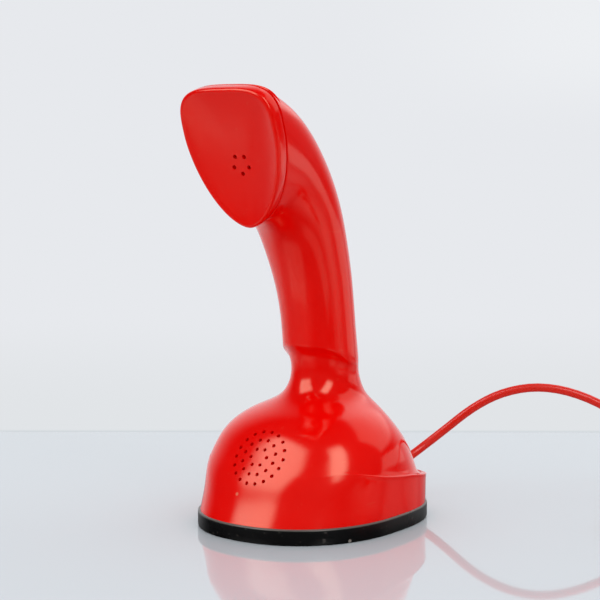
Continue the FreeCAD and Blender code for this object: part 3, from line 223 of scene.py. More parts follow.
def wear_group() -> bpy.types.NodeTree:
    """Makes the shared group that gives the fine variation of every finish.

    Broad noise gives the tone, a stretched noise cut at a high level gives hair
    scratches, and sparse cells give specks of dust.

    Returns:
        The node group, with the outputs Tone, Scratch, Speck and Height.
    """
    group = bpy.data.node_groups.new("surface_wear", "ShaderNodeTree")
    sockets = {
        "INPUT": ("Tone Scale", "Scratch Scale", "Speck Scale", "Grain Scale"),
        "OUTPUT": ("Tone", "Scratch", "Speck", "Height"),
    }
    for way, names in sockets.items():
        for name in names:
            group.interface.new_socket(name, in_out=way, socket_type="NodeSocketFloat")
    tree = Tree(group)
    scale = group.nodes.new("NodeGroupInput").outputs
    place = tree.add("TexCoord", {}).outputs["Object"]
    tone = tree.add("TexNoise", {"Vector": place, "Scale": scale["Tone Scale"], "Detail": 4.0})
    turn = tree.add("Mapping", {"Vector": place, "Rotation": HAIR_TURN, "Scale": HAIR_STRETCH})
    along = turn.outputs["Vector"]
    hair = tree.add("TexNoise", {"Vector": along, "Scale": scale["Scratch Scale"], "Detail": 1.0})
    cell = tree.add("TexVoronoi", {"Vector": place, "Scale": scale["Speck Scale"]})
    grain = tree.add("TexNoise", {"Vector": place, "Scale": scale["Grain Scale"], "Detail": 2.0})
    tree.feed(group.nodes.new("NodeGroupOutput"), {
        "Tone": tone.outputs["Fac"],
        "Scratch": tree.ramp(hair.outputs["Fac"], HAIR_CUT, shape="LINEAR"),
        "Speck": tree.ramp(cell.outputs["Distance"], SPECK_CUT, shape="LINEAR"),
        "Height": grain.outputs["Fac"],
    })
    return group


SCRATCH_SCALE = 420.0
SPECK_SCALE = 260.0
TONE_SPAN: Span = (0.3, 0.7)
GRAIN_STRENGTH = 0.4
SPOT_SPAN: Span = (0.0011, 0.00044)
SPOT_STRENGTH = 0.85
DUST_HEIGHT = 0.0008
DUST_STRENGTH = 0.45


@dataclass(frozen=True)
class Finish:
    """A procedural finish: two tones, a roughness span, a grain and some wear.

    Colours are linear, lengths are metres and scales are cells for each metre. The tone
    runs from dark to light, and with it the roughness. Scratch and speck are the shares
    by which a mark turns to the wear colour. A gloss of 0.5 is a plain plastic, and tint
    is the colour of its reflection. The dust line is a height, and spots are the middles
    of small pale marks in the wear colour.
    """

    slot: Slot
    light: Colour
    dark: Colour
    rough: Span = (0.3, 0.45)
    metallic: float = 0.0
    tone_scale: float = 40.0
    grain_scale: float = 900.0
    grain_depth: float = 0.00003
    scratch: float = 0.0
    speck: float = 0.0
    wear: Colour = (0.6, 0.55, 0.5)
    alpha: float = 1.0
    gloss: float = 0.5
    tint: Colour = (1.0, 1.0, 1.0)
    dust_line: float | None = None
    spots: tuple[Triple, ...] = ()

    def material(self, wear: bpy.types.NodeTree) -> bpy.types.Material:
        """Builds the material of the finish.

        Args:
            wear: The shared wear group.

        Returns:
            The material, with its Principled shader fed by the group.
        """
        made = bpy.data.materials.new(self.slot.value)
        made.use_nodes = True
        tree = Tree(made.node_tree)
        scales = {"Tone Scale": self.tone_scale, "Scratch Scale": SCRATCH_SCALE}
        scales |= {"Speck Scale": SPECK_SCALE, "Grain Scale": self.grain_scale}
        surface = tree.add("Group", scales, node_tree=wear).outputs
        marks = tree.times(surface["Scratch"], self.scratch)
        sums = {0: surface["Speck"], 1: self.speck, 2: marks}
        worn = tree.add("Math", sums, operation="MULTIPLY_ADD").outputs[0]
        colour = tree.mix(worn, tree.mix(surface["Tone"], self.dark, self.light), self.wear)
        bump = {"Height": surface["Height"], "Strength": GRAIN_STRENGTH, "Distance": self.grain_depth}
        tree.feed(made.node_tree.nodes["Principled BSDF"], {
            "Base Color": self.marked(tree, colour),
            "Roughness": tree.ramp(surface["Tone"], TONE_SPAN, self.rough, "LINEAR"),
            "Normal": tree.add("Bump", bump).outputs["Normal"],
            "Metallic": self.metallic,
            "Alpha": self.alpha,
            "Specular IOR Level": self.gloss,
            "Specular Tint": self.tint,
        })
        return made

    def marked(self, tree: Tree, colour: Socket) -> Socket:
        """Adds the small pale marks and the line of dust over a colour.

        Args:
            tree: Tree of the material.
            colour: Socket of the colour below.

        Returns:
            The socket of the colour with its marks.
        """
        place = tree.add("TexCoord", {}).outputs["Object"]
        ways = [("DISTANCE", spot, SPOT_SPAN, SPOT_STRENGTH) for spot in self.spots]
        if self.dust_line is not None:
            span = (self.dust_line - DUST_HEIGHT, self.dust_line)
            ways.append(("DOT_PRODUCT", (0.0, 0.0, 1.0), span, DUST_STRENGTH))
        for operation, vector, span, strength in ways:
            reach = tree.vector(operation, place, vector).outputs["Value"]
            colour = tree.mix(tree.ramp(reach, span, (0.0, strength)), colour, self.wear)
        return colour


# A small pale spot on the front of the case, below and to the left of the mouthpiece.
CASE_PALE_SPOT: Triple = (-0.0057, -0.0485, 0.02)
RING_CHIP: Triple = (0.0436, -0.0283, 0.001)
FINISHES: tuple[Finish, ...] = (
    Finish(Slot.CASE, linear(252, 3, 0), linear(246, 2, 0), (0.1, 0.17),
           tone_scale=25.0, grain_scale=160.0, grain_depth=0.00006, scratch=0.04, speck=0.03,
           wear=linear(244, 130, 100), gloss=0.62, tint=(1.0, 0.95, 0.68), spots=(CASE_PALE_SPOT,)),
    Finish(Slot.CORD, linear(240, 38, 12), linear(228, 28, 8), (0.24, 0.32),
           tone_scale=60.0, grain_depth=0.00001, wear=linear(236, 150, 130)),
    Finish(Slot.RING, linear(16, 15, 16), linear(8, 8, 9), (0.24, 0.36), scratch=0.15,
           speck=0.15, wear=linear(150, 140, 130), dust_line=0.0073, spots=(RING_CHIP,)),
    Finish(Slot.PLATE, linear(120, 122, 124), linear(98, 100, 103), (0.4, 0.55), scratch=0.2),
    Finish(Slot.WHEEL, linear(44, 42, 42), linear(28, 27, 28), (0.22, 0.36), scratch=0.2),
    Finish(Slot.DIAL, linear(236, 232, 220), linear(222, 217, 203), (0.35, 0.5), speck=0.1,
           wear=linear(150, 140, 120)),
    Finish(Slot.BUTTON, linear(214, 34, 18), linear(196, 24, 12), (0.2, 0.32), scratch=0.2),
    Finish(Slot.STEEL, linear(196, 198, 200), linear(168, 170, 174), (0.22, 0.4), 1.0),
    Finish(Slot.SPRING, linear(176, 178, 182), linear(138, 140, 146), (0.25, 0.4), 1.0),
    Finish(Slot.BRASS, linear(206, 170, 96), linear(180, 142, 72), (0.2, 0.38), 1.0),
    Finish(Slot.INSULATOR, linear(92, 58, 38), linear(70, 42, 28), (0.4, 0.55)),
    Finish(Slot.BOARD, linear(44, 104, 62), linear(30, 84, 48), (0.3, 0.45)),
    Finish(Slot.WINDING, linear(150, 82, 44), linear(116, 58, 30), (0.35, 0.5), 0.4,
           grain_scale=1500.0),
    Finish(Slot.CAPSULE, linear(150, 152, 154), linear(122, 124, 128), (0.3, 0.5), 0.6),
    Finish(Slot.SEAL, linear(38, 37, 36), linear(24, 23, 23), (0.6, 0.75)),
    Finish(Slot.LEAD, linear(160, 158, 154), linear(136, 134, 130), (0.4, 0.55)),
    Finish(Slot.TIE, linear(232, 232, 228), linear(214, 214, 208), (0.3, 0.45), alpha=0.85),
)


def natural_spline(knots: Array, values: Array, places: Array) -> Array:
    """Runs a natural cubic spline through rows of values.

    Args:
        knots: Rising places of the rows, (n,).
        values: Rows of values, (n, f).
        places: Places asked for, (m,).

    Returns:
        The splined rows, (m, f).
    """
    count = len(knots)
    gaps = np.diff(knots)
    inner = np.arange(1, count - 1)
    system = np.eye(count)
    system[inner, inner - 1] = gaps[:-1]
    system[inner, inner] = 2.0 * (gaps[:-1] + gaps[1:])
    system[inner, inner + 1] = gaps[1:]
    turn = np.zeros_like(values)
    turn[1:-1] = 6.0 * np.diff(np.diff(values, axis=0) / gaps[:, None], axis=0)
    bend = np.linalg.solve(system, turn)
    span = np.clip(np.searchsorted(knots, places, side="right") - 1, 0, count - 2)
    gap = gaps[span][:, None]
    left = (knots[span + 1] - places)[:, None]
    right = (places - knots[span])[:, None]
    cubic = (bend[span] * left**3 + bend[span + 1] * right**3) / (6.0 * gap)
    low = (values[span] / gap - bend[span] * gap / 6.0) * left
    high = (values[span + 1] / gap - bend[span + 1] * gap / 6.0) * right
    return cubic + low + high


def refined(stations: Array, steps: int) -> Array:
    """Splines a table of sections along the body.

    Args:
        stations: Sections, one row of eight values each: front y and z, back y and z,
            half width, share of the run at the widest place, front and back power.
        steps: Rows for each span.

    Returns:
        The finer table, whose rows run from the first section to the last.
    """
    front = np.linalg.norm(np.diff(stations[:, 0:2], axis=0), axis=1)
    back = np.linalg.norm(np.diff(stations[:, 2:4], axis=0), axis=1)
    knots = np.concatenate([[0.0], np.cumsum((front + back) / 2.0)])
    count = len(stations)
    index = np.linspace(0.0, count - 1.0, steps * (count - 1) + 1)
    return natural_spline(knots, stations, np.interp(index, np.arange(count), knots))


def outlines(table: Array, angles: Array) -> Array:
    """Draws the closed outline of each section of a table.

    A section lies in a plane through its front and back point. In that plane the
    outline is two half superellipses that meet at the widest place, sampled at equal
    polar angles of the unit superellipse.

    Args:
        table: Sections, (m, 8).
        angles: Polar angles from the right-hand side towards the rear, (k,).

    Returns:
        Points in millimetres, (m, k, 3).
    """
    along = table[:, 2:4] - table[:, 0:2]
    run = np.linalg.norm(along, axis=1, keepdims=True)
    unit = along / run
    side = np.cos(angles)[None]
    depth = np.sin(angles)[None]
    widest = table[:, 5:6]
    power = np.where(depth < 0.0, table[:, 6:7], table[:, 7:8])
    reach = np.where(depth < 0.0, widest, 1.0 - widest)
    radius = (np.abs(side) ** power + np.abs(depth) ** power) ** (-1.0 / power)
    far = (widest + reach * radius * depth) * run
    return np.stack([
        table[:, 4:5] * radius * side,
        table[:, 0:1] + unit[:, 0:1] * far,
        table[:, 1:2] + unit[:, 1:2] * far,
    ], axis=2)


def carried(section: Values, profile: Rows, angles: Array) -> Array:
    """Carries a profile round the outline of a section.

    Each row is the section's outline, drawn in by an inset and lifted along its normal.

    Args:
        section: One section of eight values.
        profile: Inset and lift of each row.
        angles: Polar angles of the columns, (k,).

    Returns:
        Points in millimetres, (m, k, 3).
    """
    insets, lifts = np.array(profile).T[:, :, None]
    table = np.repeat(np.array(section)[None], len(insets), axis=0)
    along = table[:, 2:4] - table[:, 0:2]
    unit = along / np.linalg.norm(along, axis=1, keepdims=True)
    lift = np.stack([-unit[:, 1], unit[:, 0]], axis=1) * lifts
    table[:, 0:2] += unit * insets + lift
    table[:, 2:4] += lift - unit * insets
    table[:, 4:5] -= insets
    return outlines(table, angles)


def around(count: int) -> Array:
    """Gives equal angles round a full turn."""
    return np.linspace(0.0, 2.0 * np.pi, count, endpoint=False)


def spokes(angles: Array, u: Array, v: Array) -> Array:
    """Gives the unit points u cos a + v sin a at some angles, (n, 3)."""
    return np.cos(angles)[:, None] * u + np.sin(angles)[:, None] * v


def off_front(angles: Array) -> Array:
    """Gives how many degrees each polar angle is away from the front."""
    off = np.abs(np.degrees(angles) - 270.0)
    return np.minimum(off, 360.0 - off)


def along_front(angles: Array, knots: Values, values: Values) -> Array:
    """Reads a curve over the degrees away from the front, the same on both sides."""
    return natural_spline(np.array(knots), np.array(values)[:, None], off_front(angles))[:, 0]


def smooth_step(value: Array, start: float = 0.0, end: float = 1.0) -> Array:
    """Rises smoothly from 0 at the start to 1 at the end."""
    share = np.clip((value - start) / (end - start), 0.0, 1.0)
    return share * share * (3.0 - 2.0 * share)


def linked(name: str, data: bpy.types.ID) -> Object:
    """Makes an object of some data and links it to the scene.

    Args:
        name: Name of the object.
        data: Mesh, curve, lamp or camera.

    Returns:
        The object.
    """
    made = bpy.data.objects.new(name, data)
    bpy.context.scene.collection.objects.link(made)
    return made


def baked(piece: Object) -> bpy.types.Mesh:
    """Gives a new mesh of an object as its modifiers leave it."""
    graph = bpy.context.evaluated_depsgraph_get()
    return bpy.data.meshes.new_from_object(piece.evaluated_get(graph))


def grid_object(name: str, points: Array, ring: bool = False, closed: bool = False) -> Object:
    """Makes a mesh object from a grid whose columns close on themselves.

    Args:
        name: Name of the object.
        points: Points in millimetres, (rows, columns, 3).
        ring: Whether the last row joins the first.
        closed: Whether the first and the last row are closed to their middles.

    Returns:
        The linked object, smooth, with its faces outward.
    """
    rows, columns = points.shape[:2]
    row = np.arange(rows if ring else rows - 1)[:, None] * columns
    above = (row + columns) % (rows * columns)
    loop = np.arange(columns)
    after = (loop + 1) % columns
    quads = np.stack([row + loop, row + after, above + after, above + loop], axis=2)
    verts = points.reshape(-1, 3)
    faces = quads.reshape(-1, 4).tolist()
    if closed:
        middle = np.full(columns, len(verts))
        last = (rows - 1) * columns
        verts = np.vstack([verts, points[0].mean(axis=0), points[-1].mean(axis=0)])
        faces += np.stack([after, loop, middle], axis=1).tolist()
        faces += np.stack([last + loop, last + after, middle + 1], axis=1).tolist()
    mesh = bpy.data.meshes.new(name)
    mesh.from_pydata((verts * MM).tolist(), [], faces)
    mesh.shade_smooth()
    return linked(name, mesh)


def lathe(name: str, profile: Rows | Array, frame: Array, columns: int, **ends: bool) -> Object:
    """Turns a profile about an axis.

    The surface is origin + axis * height + radius * (u cos a + v sin a).

    Args:
        name: Name of the object.
        profile: Radius and height pairs, (m, 2), rising along the axis.
        frame: Rows of origin, u, v and axis, (4, 3).
        columns: Points round the axis.
        **ends: Passed on to grid_object.

    Returns:
        The object.
    """
    rim = spokes(around(columns), frame[1], frame[2])
    radius, height = np.array(profile).T[:, :, None, None]
    return grid_object(name, frame[0] + height * frame[3] + radius * rim, **ends)


def drilled(piece: Object, holes: Array, axis: Array, radius: float, reach: float) -> None:
    """Cuts round holes through a closed piece and keeps its edges crisp.

    Args:
        piece: Piece to cut, with its modifiers.
        holes: Middles of the holes in millimetres, (n, 3).
        axis: Unit direction of every hole, square to the x axis.
        radius: Radius of a hole.
        reach: Half length of a cutter.
    """
    across = np.cross(axis, ACROSS)
    across /= np.linalg.norm(across)
    other = np.cross(axis, across)
    profile = ((radius, -reach), (radius, reach))
    collection = bpy.data.collections.new(f"{piece.name}_cutters")
    for number, hole in enumerate(holes):
        frame = np.stack([hole, across, other, axis])
        cutter = lathe(f"cutter_{number}", profile, frame, CUTTER_COLUMNS, closed=True)
        collection.objects.link(cutter)
    cut = piece.modifiers.new("holes", "BOOLEAN")
    cut.operation = "DIFFERENCE"
    cut.operand_type = "COLLECTION"
    cut.collection = collection
    cut.solver = "EXACT"
    mesh = baked(piece)
    piece.modifiers.clear()
    piece.data = mesh
    mesh.shade_smooth()
    mesh.set_sharp_from_angle(angle=SHARP_HOLE)
    for cutter in list(collection.objects):
        bpy.data.objects.remove(cutter)
    bpy.data.collections.remove(collection)


@dataclass
class Piece:
    """A sub-assembly: the materials and the frame's nodes, and the objects it has made."""

    materials: dict[Slot, bpy.types.Material]
    nodes: dict[str, Object]
    made: list[Object] = field(default_factory=list)
    columns: int = 180

    def angles(self) -> Array:
        """Gives the polar angles of the columns."""
        return around(self.columns)

    def build(self) -> None:
        """Builds the objects, which each sub-assembly does in its own way."""
        raise NotImplementedError

    def settle(self, piece: Object, slot: Slot, body: str, *nodes: str) -> None:
        """Gives a piece its finish, its body and the nodes it stands for.

        Args:
            piece: The object.
            slot: Finish of the object.
            body: Body that carries it.
            *nodes: Nodes that it replaces.
        """
        piece.data.materials.clear()
        piece.data.materials.append(self.materials[slot])
        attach(piece, body)
        if nodes:
            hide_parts(*nodes)
        self.made.append(piece)


@dataclass
class Case(Piece):
    """The moulded case: skirt and ledge, dome, crease, grip and head.

    Sections follow the solid, so that the outline stays as it is built.
    """

    wall: float = 2.6
    foot: float = 7.5
    edge: float = 0.6
    edge_share: float = 0.35
    flare: float = 2.6
    flare_share: float = 0.6
    blend: float = 0.3
    wall_rows: int = 12
    edge_rows: int = 7
    flare_rows: int = 6
    lower: Rows = (
        (-54.5, 7.5, 55.0, 7.5, 47.6, 0.49, 2.2, 2.9),
        (-49.5, 18.0, 52.0, 18.0, 47.7, 0.48, 2.2, 2.75),
        (-45.4, 27.5, 48.2, 29.0, 47.3, 0.47, 2.25, 2.5),
        (-39.6, 36.5, 43.0, 39.0, 45.4, 0.47, 2.2, 2.35),
        (-33.0, 45.5, 38.0, 48.0, 39.8, 0.47, 2.2, 2.2),
        (-23.7, 53.0, 35.4, 55.0, 30.4, 0.47, 2.1, 2.1),
        (-11.8, 59.5, 34.2, 60.5, 19.7, 0.48, 2.0, 2.1),
        (-6.6, 65.0, 32.5, 65.0, 16.7, 0.49, 2.0, 2.1),
        (-4.0, 73.5, 30.4, 70.0, 15.9, 0.5, 2.0, 2.05),
        (-5.0, 80.0, 29.3, 73.2, 16.8, 0.5, 2.0, 2.0),
        CREASE,
    )
    upper: Rows = (
        CREASE,
        (-9.9, 97.0, 25.3, 92.0, 18.1, 0.5, 2.05, 2.05),
        (-13.3, 113.0, 21.3, 113.0, 18.8, 0.5, 2.1, 2.1),
        (-19.7, 128.5, 15.5, 134.0, 20.2, 0.5, 2.1, 2.1),
        (-26.9, 139.0, 5.4, 158.0, 21.5, 0.52, 2.0, 2.2),
        (-34.9, 145.2, -15.2, 183.0, 22.9, 0.57, 1.9, 2.7),
        (-37.3, 146.0, -40.0, 199.3, 24.9, 0.63, 1.85, 3.4),
        MOUTH,
    )
    dome_steps: int = 24
    dome_rows: int = 100
    grip_steps: int = 14
    skirt: Rows = (
        (-53.9, 7.5, 56.7, 7.5, 48.0, 0.49, 2.2, 2.9),
        (-41.5, 33.0, 56.7, 18.9, 47.9, 0.43, 2.2, 2.9),
    )
    rim_knots: Values = (
        0.0, 24.0, 42.0, 54.0, 66.0, 78.0, 90.0, 102.0, 114.0, 126.0, 150.0, 180.0,
    )
    rim_rise: Values = (-2.0, -2.0, -1.2, 0.9, 0.8, 0.25, 0.05, 0.35, 0.7, 0.5, 0.1, 0.0)
    least_step: Values = (0.0, 0.0, 0.03, 0.15, 0.4, 0.5, 0.45, 0.4, 0.3, 0.2, 0.0, 0.0)
    least_power: int = 4
    crease_knots: Values = (-21.0, 0.0, 21.0, 45.0, 60.0, 71.0, 76.5, 100.0, 130.0, 180.0)
    crease_rise: Values = (0.68, 0.6, 0.68, 0.6, -0.25, -1.5, -2.3, -2.2, -0.6, 0.0)
    crease_start: float = 62.0
    crease_end: float = 22.0
    soft_least: float = 0.05
    soft_turn: Span = (60.0, 84.0)
    soft_rows: Span = (3.0, 12.0)
    soft_pull: float = 0.5
    soft_passes: int = 24
    lip: Rows = ((0.08, 0.08), (0.3, 0.16), (0.8, 0.18), (2.2, 0.18))
    grille_middle: Triple = (0.0, -39.6, 36.5)
    grille_normal: Triple = (0.0, -0.834, 0.552)
    grille_pitch: float = 4.45
    grille_phases: Values = (3.0, 18.0, 3.0)
    grille_step: int = 6
    grille_radius: float = 0.9
    grille_reach: float = 9.0

    @staticmethod
    def at_index(grid: Array, index: Array) -> Array:
        """Reads a grid between its rows.

        Args:
            grid: Points, (n, k, 3).
            index: Row places, one for each new point, (m, k).

        Returns:
            Points, (m, k, 3).
        """
        row = np.clip(np.floor(index).astype(int), 0, len(grid) - 2)
        share = (index - row)[..., None]
        column = np.arange(grid.shape[1])[None]
        return grid[row, column] * (1.0 - share) + grid[row + 1, column] * share

    @staticmethod
    def index_at(grid: Array, height: Array) -> Array:
        """Finds the row places at which each column passes given heights.

        Args:
            grid: Points, (n, k, 3), rising along the rows.
            height: Heights, (m, k).

        Returns:
            Row places, (m, k).
        """
        level = grid[:, :, 2]
        row = (level[None] <= height[:, None]).sum(axis=1) - 1
        row = np.clip(row, 0, len(grid) - 2)
        column = np.arange(grid.shape[1])[None]
        low = level[row, column]
        return row + (height - low) / (level[row + 1, column] - low)

    def ledge_rows(self, dome: Array) -> tuple[Array, Array]:
        """Stands the skirt and its ledge off the dome.

        At each height the skirt lies on the straight line between its foot and its
        top edge, and stands off the dome by a distance that fades to nothing where
        the dome comes through. Above it the profile turns over a round edge and runs
        into the dome by a flare.

        Args:
            dome: Fine grid of the dome.

        Returns:
            The rows, and the height at which the dome is reached.
        """
        base, rim = outlines(np.array(self.skirt), self.angles())
        rim[:, 2] += along_front(self.angles(), self.rim_knots, self.rim_rise)
        least = along_front(self.angles(), self.rim_knots, self.least_step)
        tangent = np.roll(rim, -1, axis=0) - np.roll(rim, 1, axis=0)
        out = np.stack([tangent[:, 1], -tangent[:, 0], np.zeros(len(rim))], axis=1)
        out /= np.linalg.norm(out, axis=1, keepdims=True)
        top = rim[:, 2]

        rows = np.linspace(0.0, 1.0, self.wall_rows)[:, None]
        height = np.concatenate([self.foot + (top - self.edge - self.foot) * rows, top[None]])
        inner = self.at_index(dome, self.index_at(dome, height))
        share = (height - self.foot) / (top - self.foot)
        gap = ((base + (rim - base) * share[..., None] - inner) * out).sum(axis=2)
        gap = 0.5 * (gap + np.sqrt(gap**2 + self.blend**2)) + least * share**self.least_power
        wall = (inner + out * gap[..., None])[:-1]
        brim = gap[-1:]
        bend = np.minimum(self.edge, self.edge_share * brim)
        turn = np.linspace(0.0, np.pi / 2.0, self.edge_rows)[1:, None]
        sweep = np.linspace(0.0, np.pi / 2.0, self.flare_rows)[:, None]
        over = brim - bend * (1.0 - np.cos(turn))
        into = np.minimum(self.flare, self.flare_share * brim) * (1.0 - np.sin(sweep))
        level = np.concatenate([
            top - self.edge + self.edge * np.sin(turn),
            top + self.flare * (1.0 - np.cos(sweep)),
        ])
        inner = self.at_index(dome, self.index_at(dome, level))
        ledge = inner + out * np.concatenate([over, into])[..., None]
        return np.concatenate([wall, ledge]), top + self.flare

    def surface(self) -> Array:
        """Gives the whole outer surface of the case.

        The sections are splined below and above the crease, and the crease line rises
        off its plane by a curve that fades over the rows on both sides.

        Returns:
            Points from the foot to the mouth of the head, (m, k, 3).
        """
        angles = self.angles()
        dome = outlines(refined(np.array(self.lower), self.dome_steps), angles)
        ledge, start = self.ledge_rows(dome)
        first = self.index_at(dome, start[None])
        share = np.linspace(0.0, 1.0, self.dome_rows + 1)[1:, None]
        lower = self.at_index(dome, first + (len(dome) - 1.0 - first) * share)
        upper = outlines(refined(np.array(self.upper), self.grip_steps), angles)
        shift = along_front(angles, self.crease_knots, self.crease_rise)
        rise = smooth_step(np.arange(len(lower)), self.crease_start, len(lower) - 1.0) ** 2
        fall = 1.0 - smooth_step(np.arange(len(upper)), 0.0, self.crease_end)
        lower[:, :, 2] += rise[:, None] * shift
        upper[:, :, 2] += fall[:, None] * shift
        grid = np.concatenate([ledge, lower, upper[1:]])
        grid = self.softened(grid, len(ledge) + len(lower) - 1)
        return np.concatenate([grid, carried(self.upper[-1], self.lip, angles)])

    def softened(self, grid: Array, crease: int) -> Array:
        """Rounds the crease a little at the front and away entirely at the sides.

        Args:
            grid: The surface.
            crease: Row of the crease.

        Returns:
            The surface with its rows drawn towards the mean of their neighbours.
        """
        turned = smooth_step(off_front(self.angles()), *self.soft_turn)
        fade = self.soft_least + (1.0 - self.soft_least) * turned
        window = 1.0 - smooth_step(np.abs(np.arange(len(grid)) - crease), *self.soft_rows)
        weight = (window[:, None] * fade)[1:-1, :, None]
        for _ in range(self.soft_passes):
            mean = 0.5 * (grid[:-2] + grid[2:])
            grid[1:-1] += self.soft_pull * weight * (mean - grid[1:-1])
        return grid

    def grille(self) -> Array:
        """Sets the holes of the mouthpiece in three rings.

        Returns:
            Middles of the holes, (n, 3).
        """
        up = np.cross(np.array(self.grille_normal), ACROSS)
        spots = []
        for ring, phase in enumerate(self.grille_phases, start=1):
            plane = spokes(np.radians(phase) + around(self.grille_step * ring), ACROSS, up)
            spots.append(np.array(self.grille_middle) + self.grille_pitch * ring * plane)
        return np.concatenate(spots)

    def build(self) -> None:
        """Builds the case with its wall and its grille."""
        case = grid_object("case", self.surface())
        wall = case.modifiers.new("wall", "SOLIDIFY")
        wall.thickness = self.wall * MM
        wall.offset = -1.0
        normal = np.array(self.grille_normal)
        drilled(case, self.grille(), normal, self.grille_radius, self.grille_reach)
        self.settle(case, Slot.CASE, "root", "case_shell")


@dataclass
class EarCap(Piece):
    """The cap of the earpiece: a groove at the case's mouth, a rim and a dish with five holes."""

    seat: Values = MOUTH
    profile: Rows = (
        (5.2, -1.5), (5.2, 0.2), (1.3, 0.2), (1.2, 0.25), (1.2, 1.2), (0.5, 1.28), (0.1, 1.36),
        (-0.12, 1.52), (-0.2, 1.75), (-0.2, 5.6), (-0.12, 6.1), (0.15, 6.65), (0.55, 7.0),
        (1.05, 7.2), (1.5, 7.2), (1.9, 7.05),
    )
    dish_depth: float = 4.0
    dish_power: float = 2.4
    dish_rows: int = 40
    dish_core: float = 0.03
    ear_middle: float = 29.2
    holes: int = 5
    hole_ring: float = 4.4
    hole_radius: float = 1.05
    hole_lift: float = 2.4
    hole_reach: float = 4.2

    def axes(self) -> tuple[Array, Array, Array]:
        """Finds the ear's own axes.

        Returns:
            The middle of the ear on the seat, the way up it and its normal.
        """
        seat = np.array(self.seat)
        up = np.array([0.0, *(seat[2:4] - seat[0:2])])
        up /= np.linalg.norm(up)
        middle = np.array([0.0, *seat[0:2]]) + up * self.ear_middle
        return middle, up, np.cross(ACROSS, up)

    def surface(self) -> Array:
        """Gives the outside of the cap.

        The profile is carried round the outline of the seat, and the dish draws the
        last outline towards the ear's middle while it sinks by a power of its share.

        Returns:
            Points from the back to the middle of the dish, (m, k, 3).
        """
        sides = carried(self.seat, self.profile, self.angles())
        middle, _, normal = self.axes()
        heart = middle + normal * self.profile[-1][1]
        share = np.linspace(1.0, self.dish_core, self.dish_rows)[1:, None, None]
        sink = self.dish_depth * (1.0 - share**self.dish_power)
        dish = heart + (sides[-1] - heart) * share - normal * sink
        return np.concatenate([sides, dish])

    def build(self) -> None:
        """Builds the cap and drills its ear holes."""
        cap = grid_object("ear_cap", self.surface(), closed=True)
        middle, up, normal = self.axes()
        ring = spokes(around(self.holes) - np.pi / 2.0, ACROSS, up)
        places = middle + normal * self.hole_lift + self.hole_ring * ring
        drilled(cap, places, normal, self.hole_radius, self.hole_reach)
        self.settle(cap, Slot.CASE, "root", "earpiece_cap")


@dataclass
class FootRing(Piece):
    """The black ring under the case."""

    section: Values = (-55.6, 0.0, 57.7, 0.0, 49.0, 0.49, 2.2, 2.85)
    profile: Rows = (
        (6.9, 0.3), (6.6, 0.0), (0.9, 0.0), (0.35, 0.12), (0.1, 0.4), (0.0, 0.9), (0.0, 6.5),
        (0.1, 7.0), (0.3, 7.3), (0.7, 7.48), (1.2, 7.5), (6.7, 7.5), (7.0, 7.2), (7.0, 0.6),
    )

    def build(self) -> None:
        """Carries the profile round the outline of the foot."""
        points = carried(self.section, self.profile, self.angles())
        ring = grid_object("foot_band", points, ring=True)
        ring.data.set_sharp_from_angle(angle=SHARP_EDGE)
        self.settle(ring, Slot.RING, "root", "foot_ring")


@dataclass
class Dial(Piece):
    """The dial under the foot: the finger wheel and the figures on the number plate."""

    wheel: Rows = (
        (5.5, 5.4), (5.5, 3.5), (5.8, 3.2), (20.0, 3.35), (35.4, 3.2), (36.2, 3.35), (36.6, 3.8),
        (36.6, 5.0), (36.2, 5.4), (5.6, 5.4),
    )
    wheel_columns: int = 128
    soft_edge: float = 0.3
    holes: int = 10
    hole_ring: float = 28.4
    hole_level: float = 4.3
    hole_radius: float = 6.0
    hole_reach: float = 6.0
    first_angle: float = -62.0
    pitch: float = 30.0
    figure_height: float = 7.0
    figure_level: float = 6.26
    figure_depth: float = 0.02

    def places(self) -> Array:
        """Gives the middles of the finger holes, level with the wheel, (n, 3)."""
        angle = np.radians(self.first_angle + self.pitch * (np.arange(self.holes) + 1.0))
        return self.hole_ring * spokes(angle, ACROSS, REARWARD) + (0.0, 0.0, self.hole_level)

    def build_wheel(self) -> None:
        """Turns the wheel with a dished face and cuts the finger holes."""
        frame = np.vstack([np.zeros(3), np.eye(3)])
        wheel = lathe("finger_disc", self.wheel, frame, self.wheel_columns, ring=True)
        drilled(wheel, self.places(), frame[3], self.hole_radius, self.hole_reach)
        soft = wheel.modifiers.new("soft edge", "BEVEL")
        soft.width = self.soft_edge * MM
        soft.segments = 2
        soft.angle_limit = SHARP_EDGE
        self.settle(wheel, Slot.WHEEL, "dial", "finger_wheel")

    def build_figures(self) -> None:
        """Sets the plain figures 0 to 9 behind the holes, to be read from below."""
        for number, (x, y, _) in enumerate(self.places()):
            digit = (self.holes - number) % self.holes
            text = bpy.data.curves.new(f"figure_{digit}", "FONT")
            text.body = str(digit)
            text.size = self.figure_height * MM
            text.align_x = "CENTER"
            text.align_y = "CENTER"
            text.extrude = self.figure_depth * MM
            holder = linked(text.name, text)
            mesh = baked(holder)
            bpy.data.objects.remove(holder)
            place = Matrix.Translation(Vector((x, y, self.figure_level)) * MM)
            mesh.transform(place @ Matrix.Rotation(math.pi, 4, "Y"))
            self.settle(linked(f"figure_{digit}", mesh), Slot.WHEEL, "root")

    def build(self) -> None:
        """Builds the wheel and the figures."""
        self.build_wheel()
        self.build_figures()


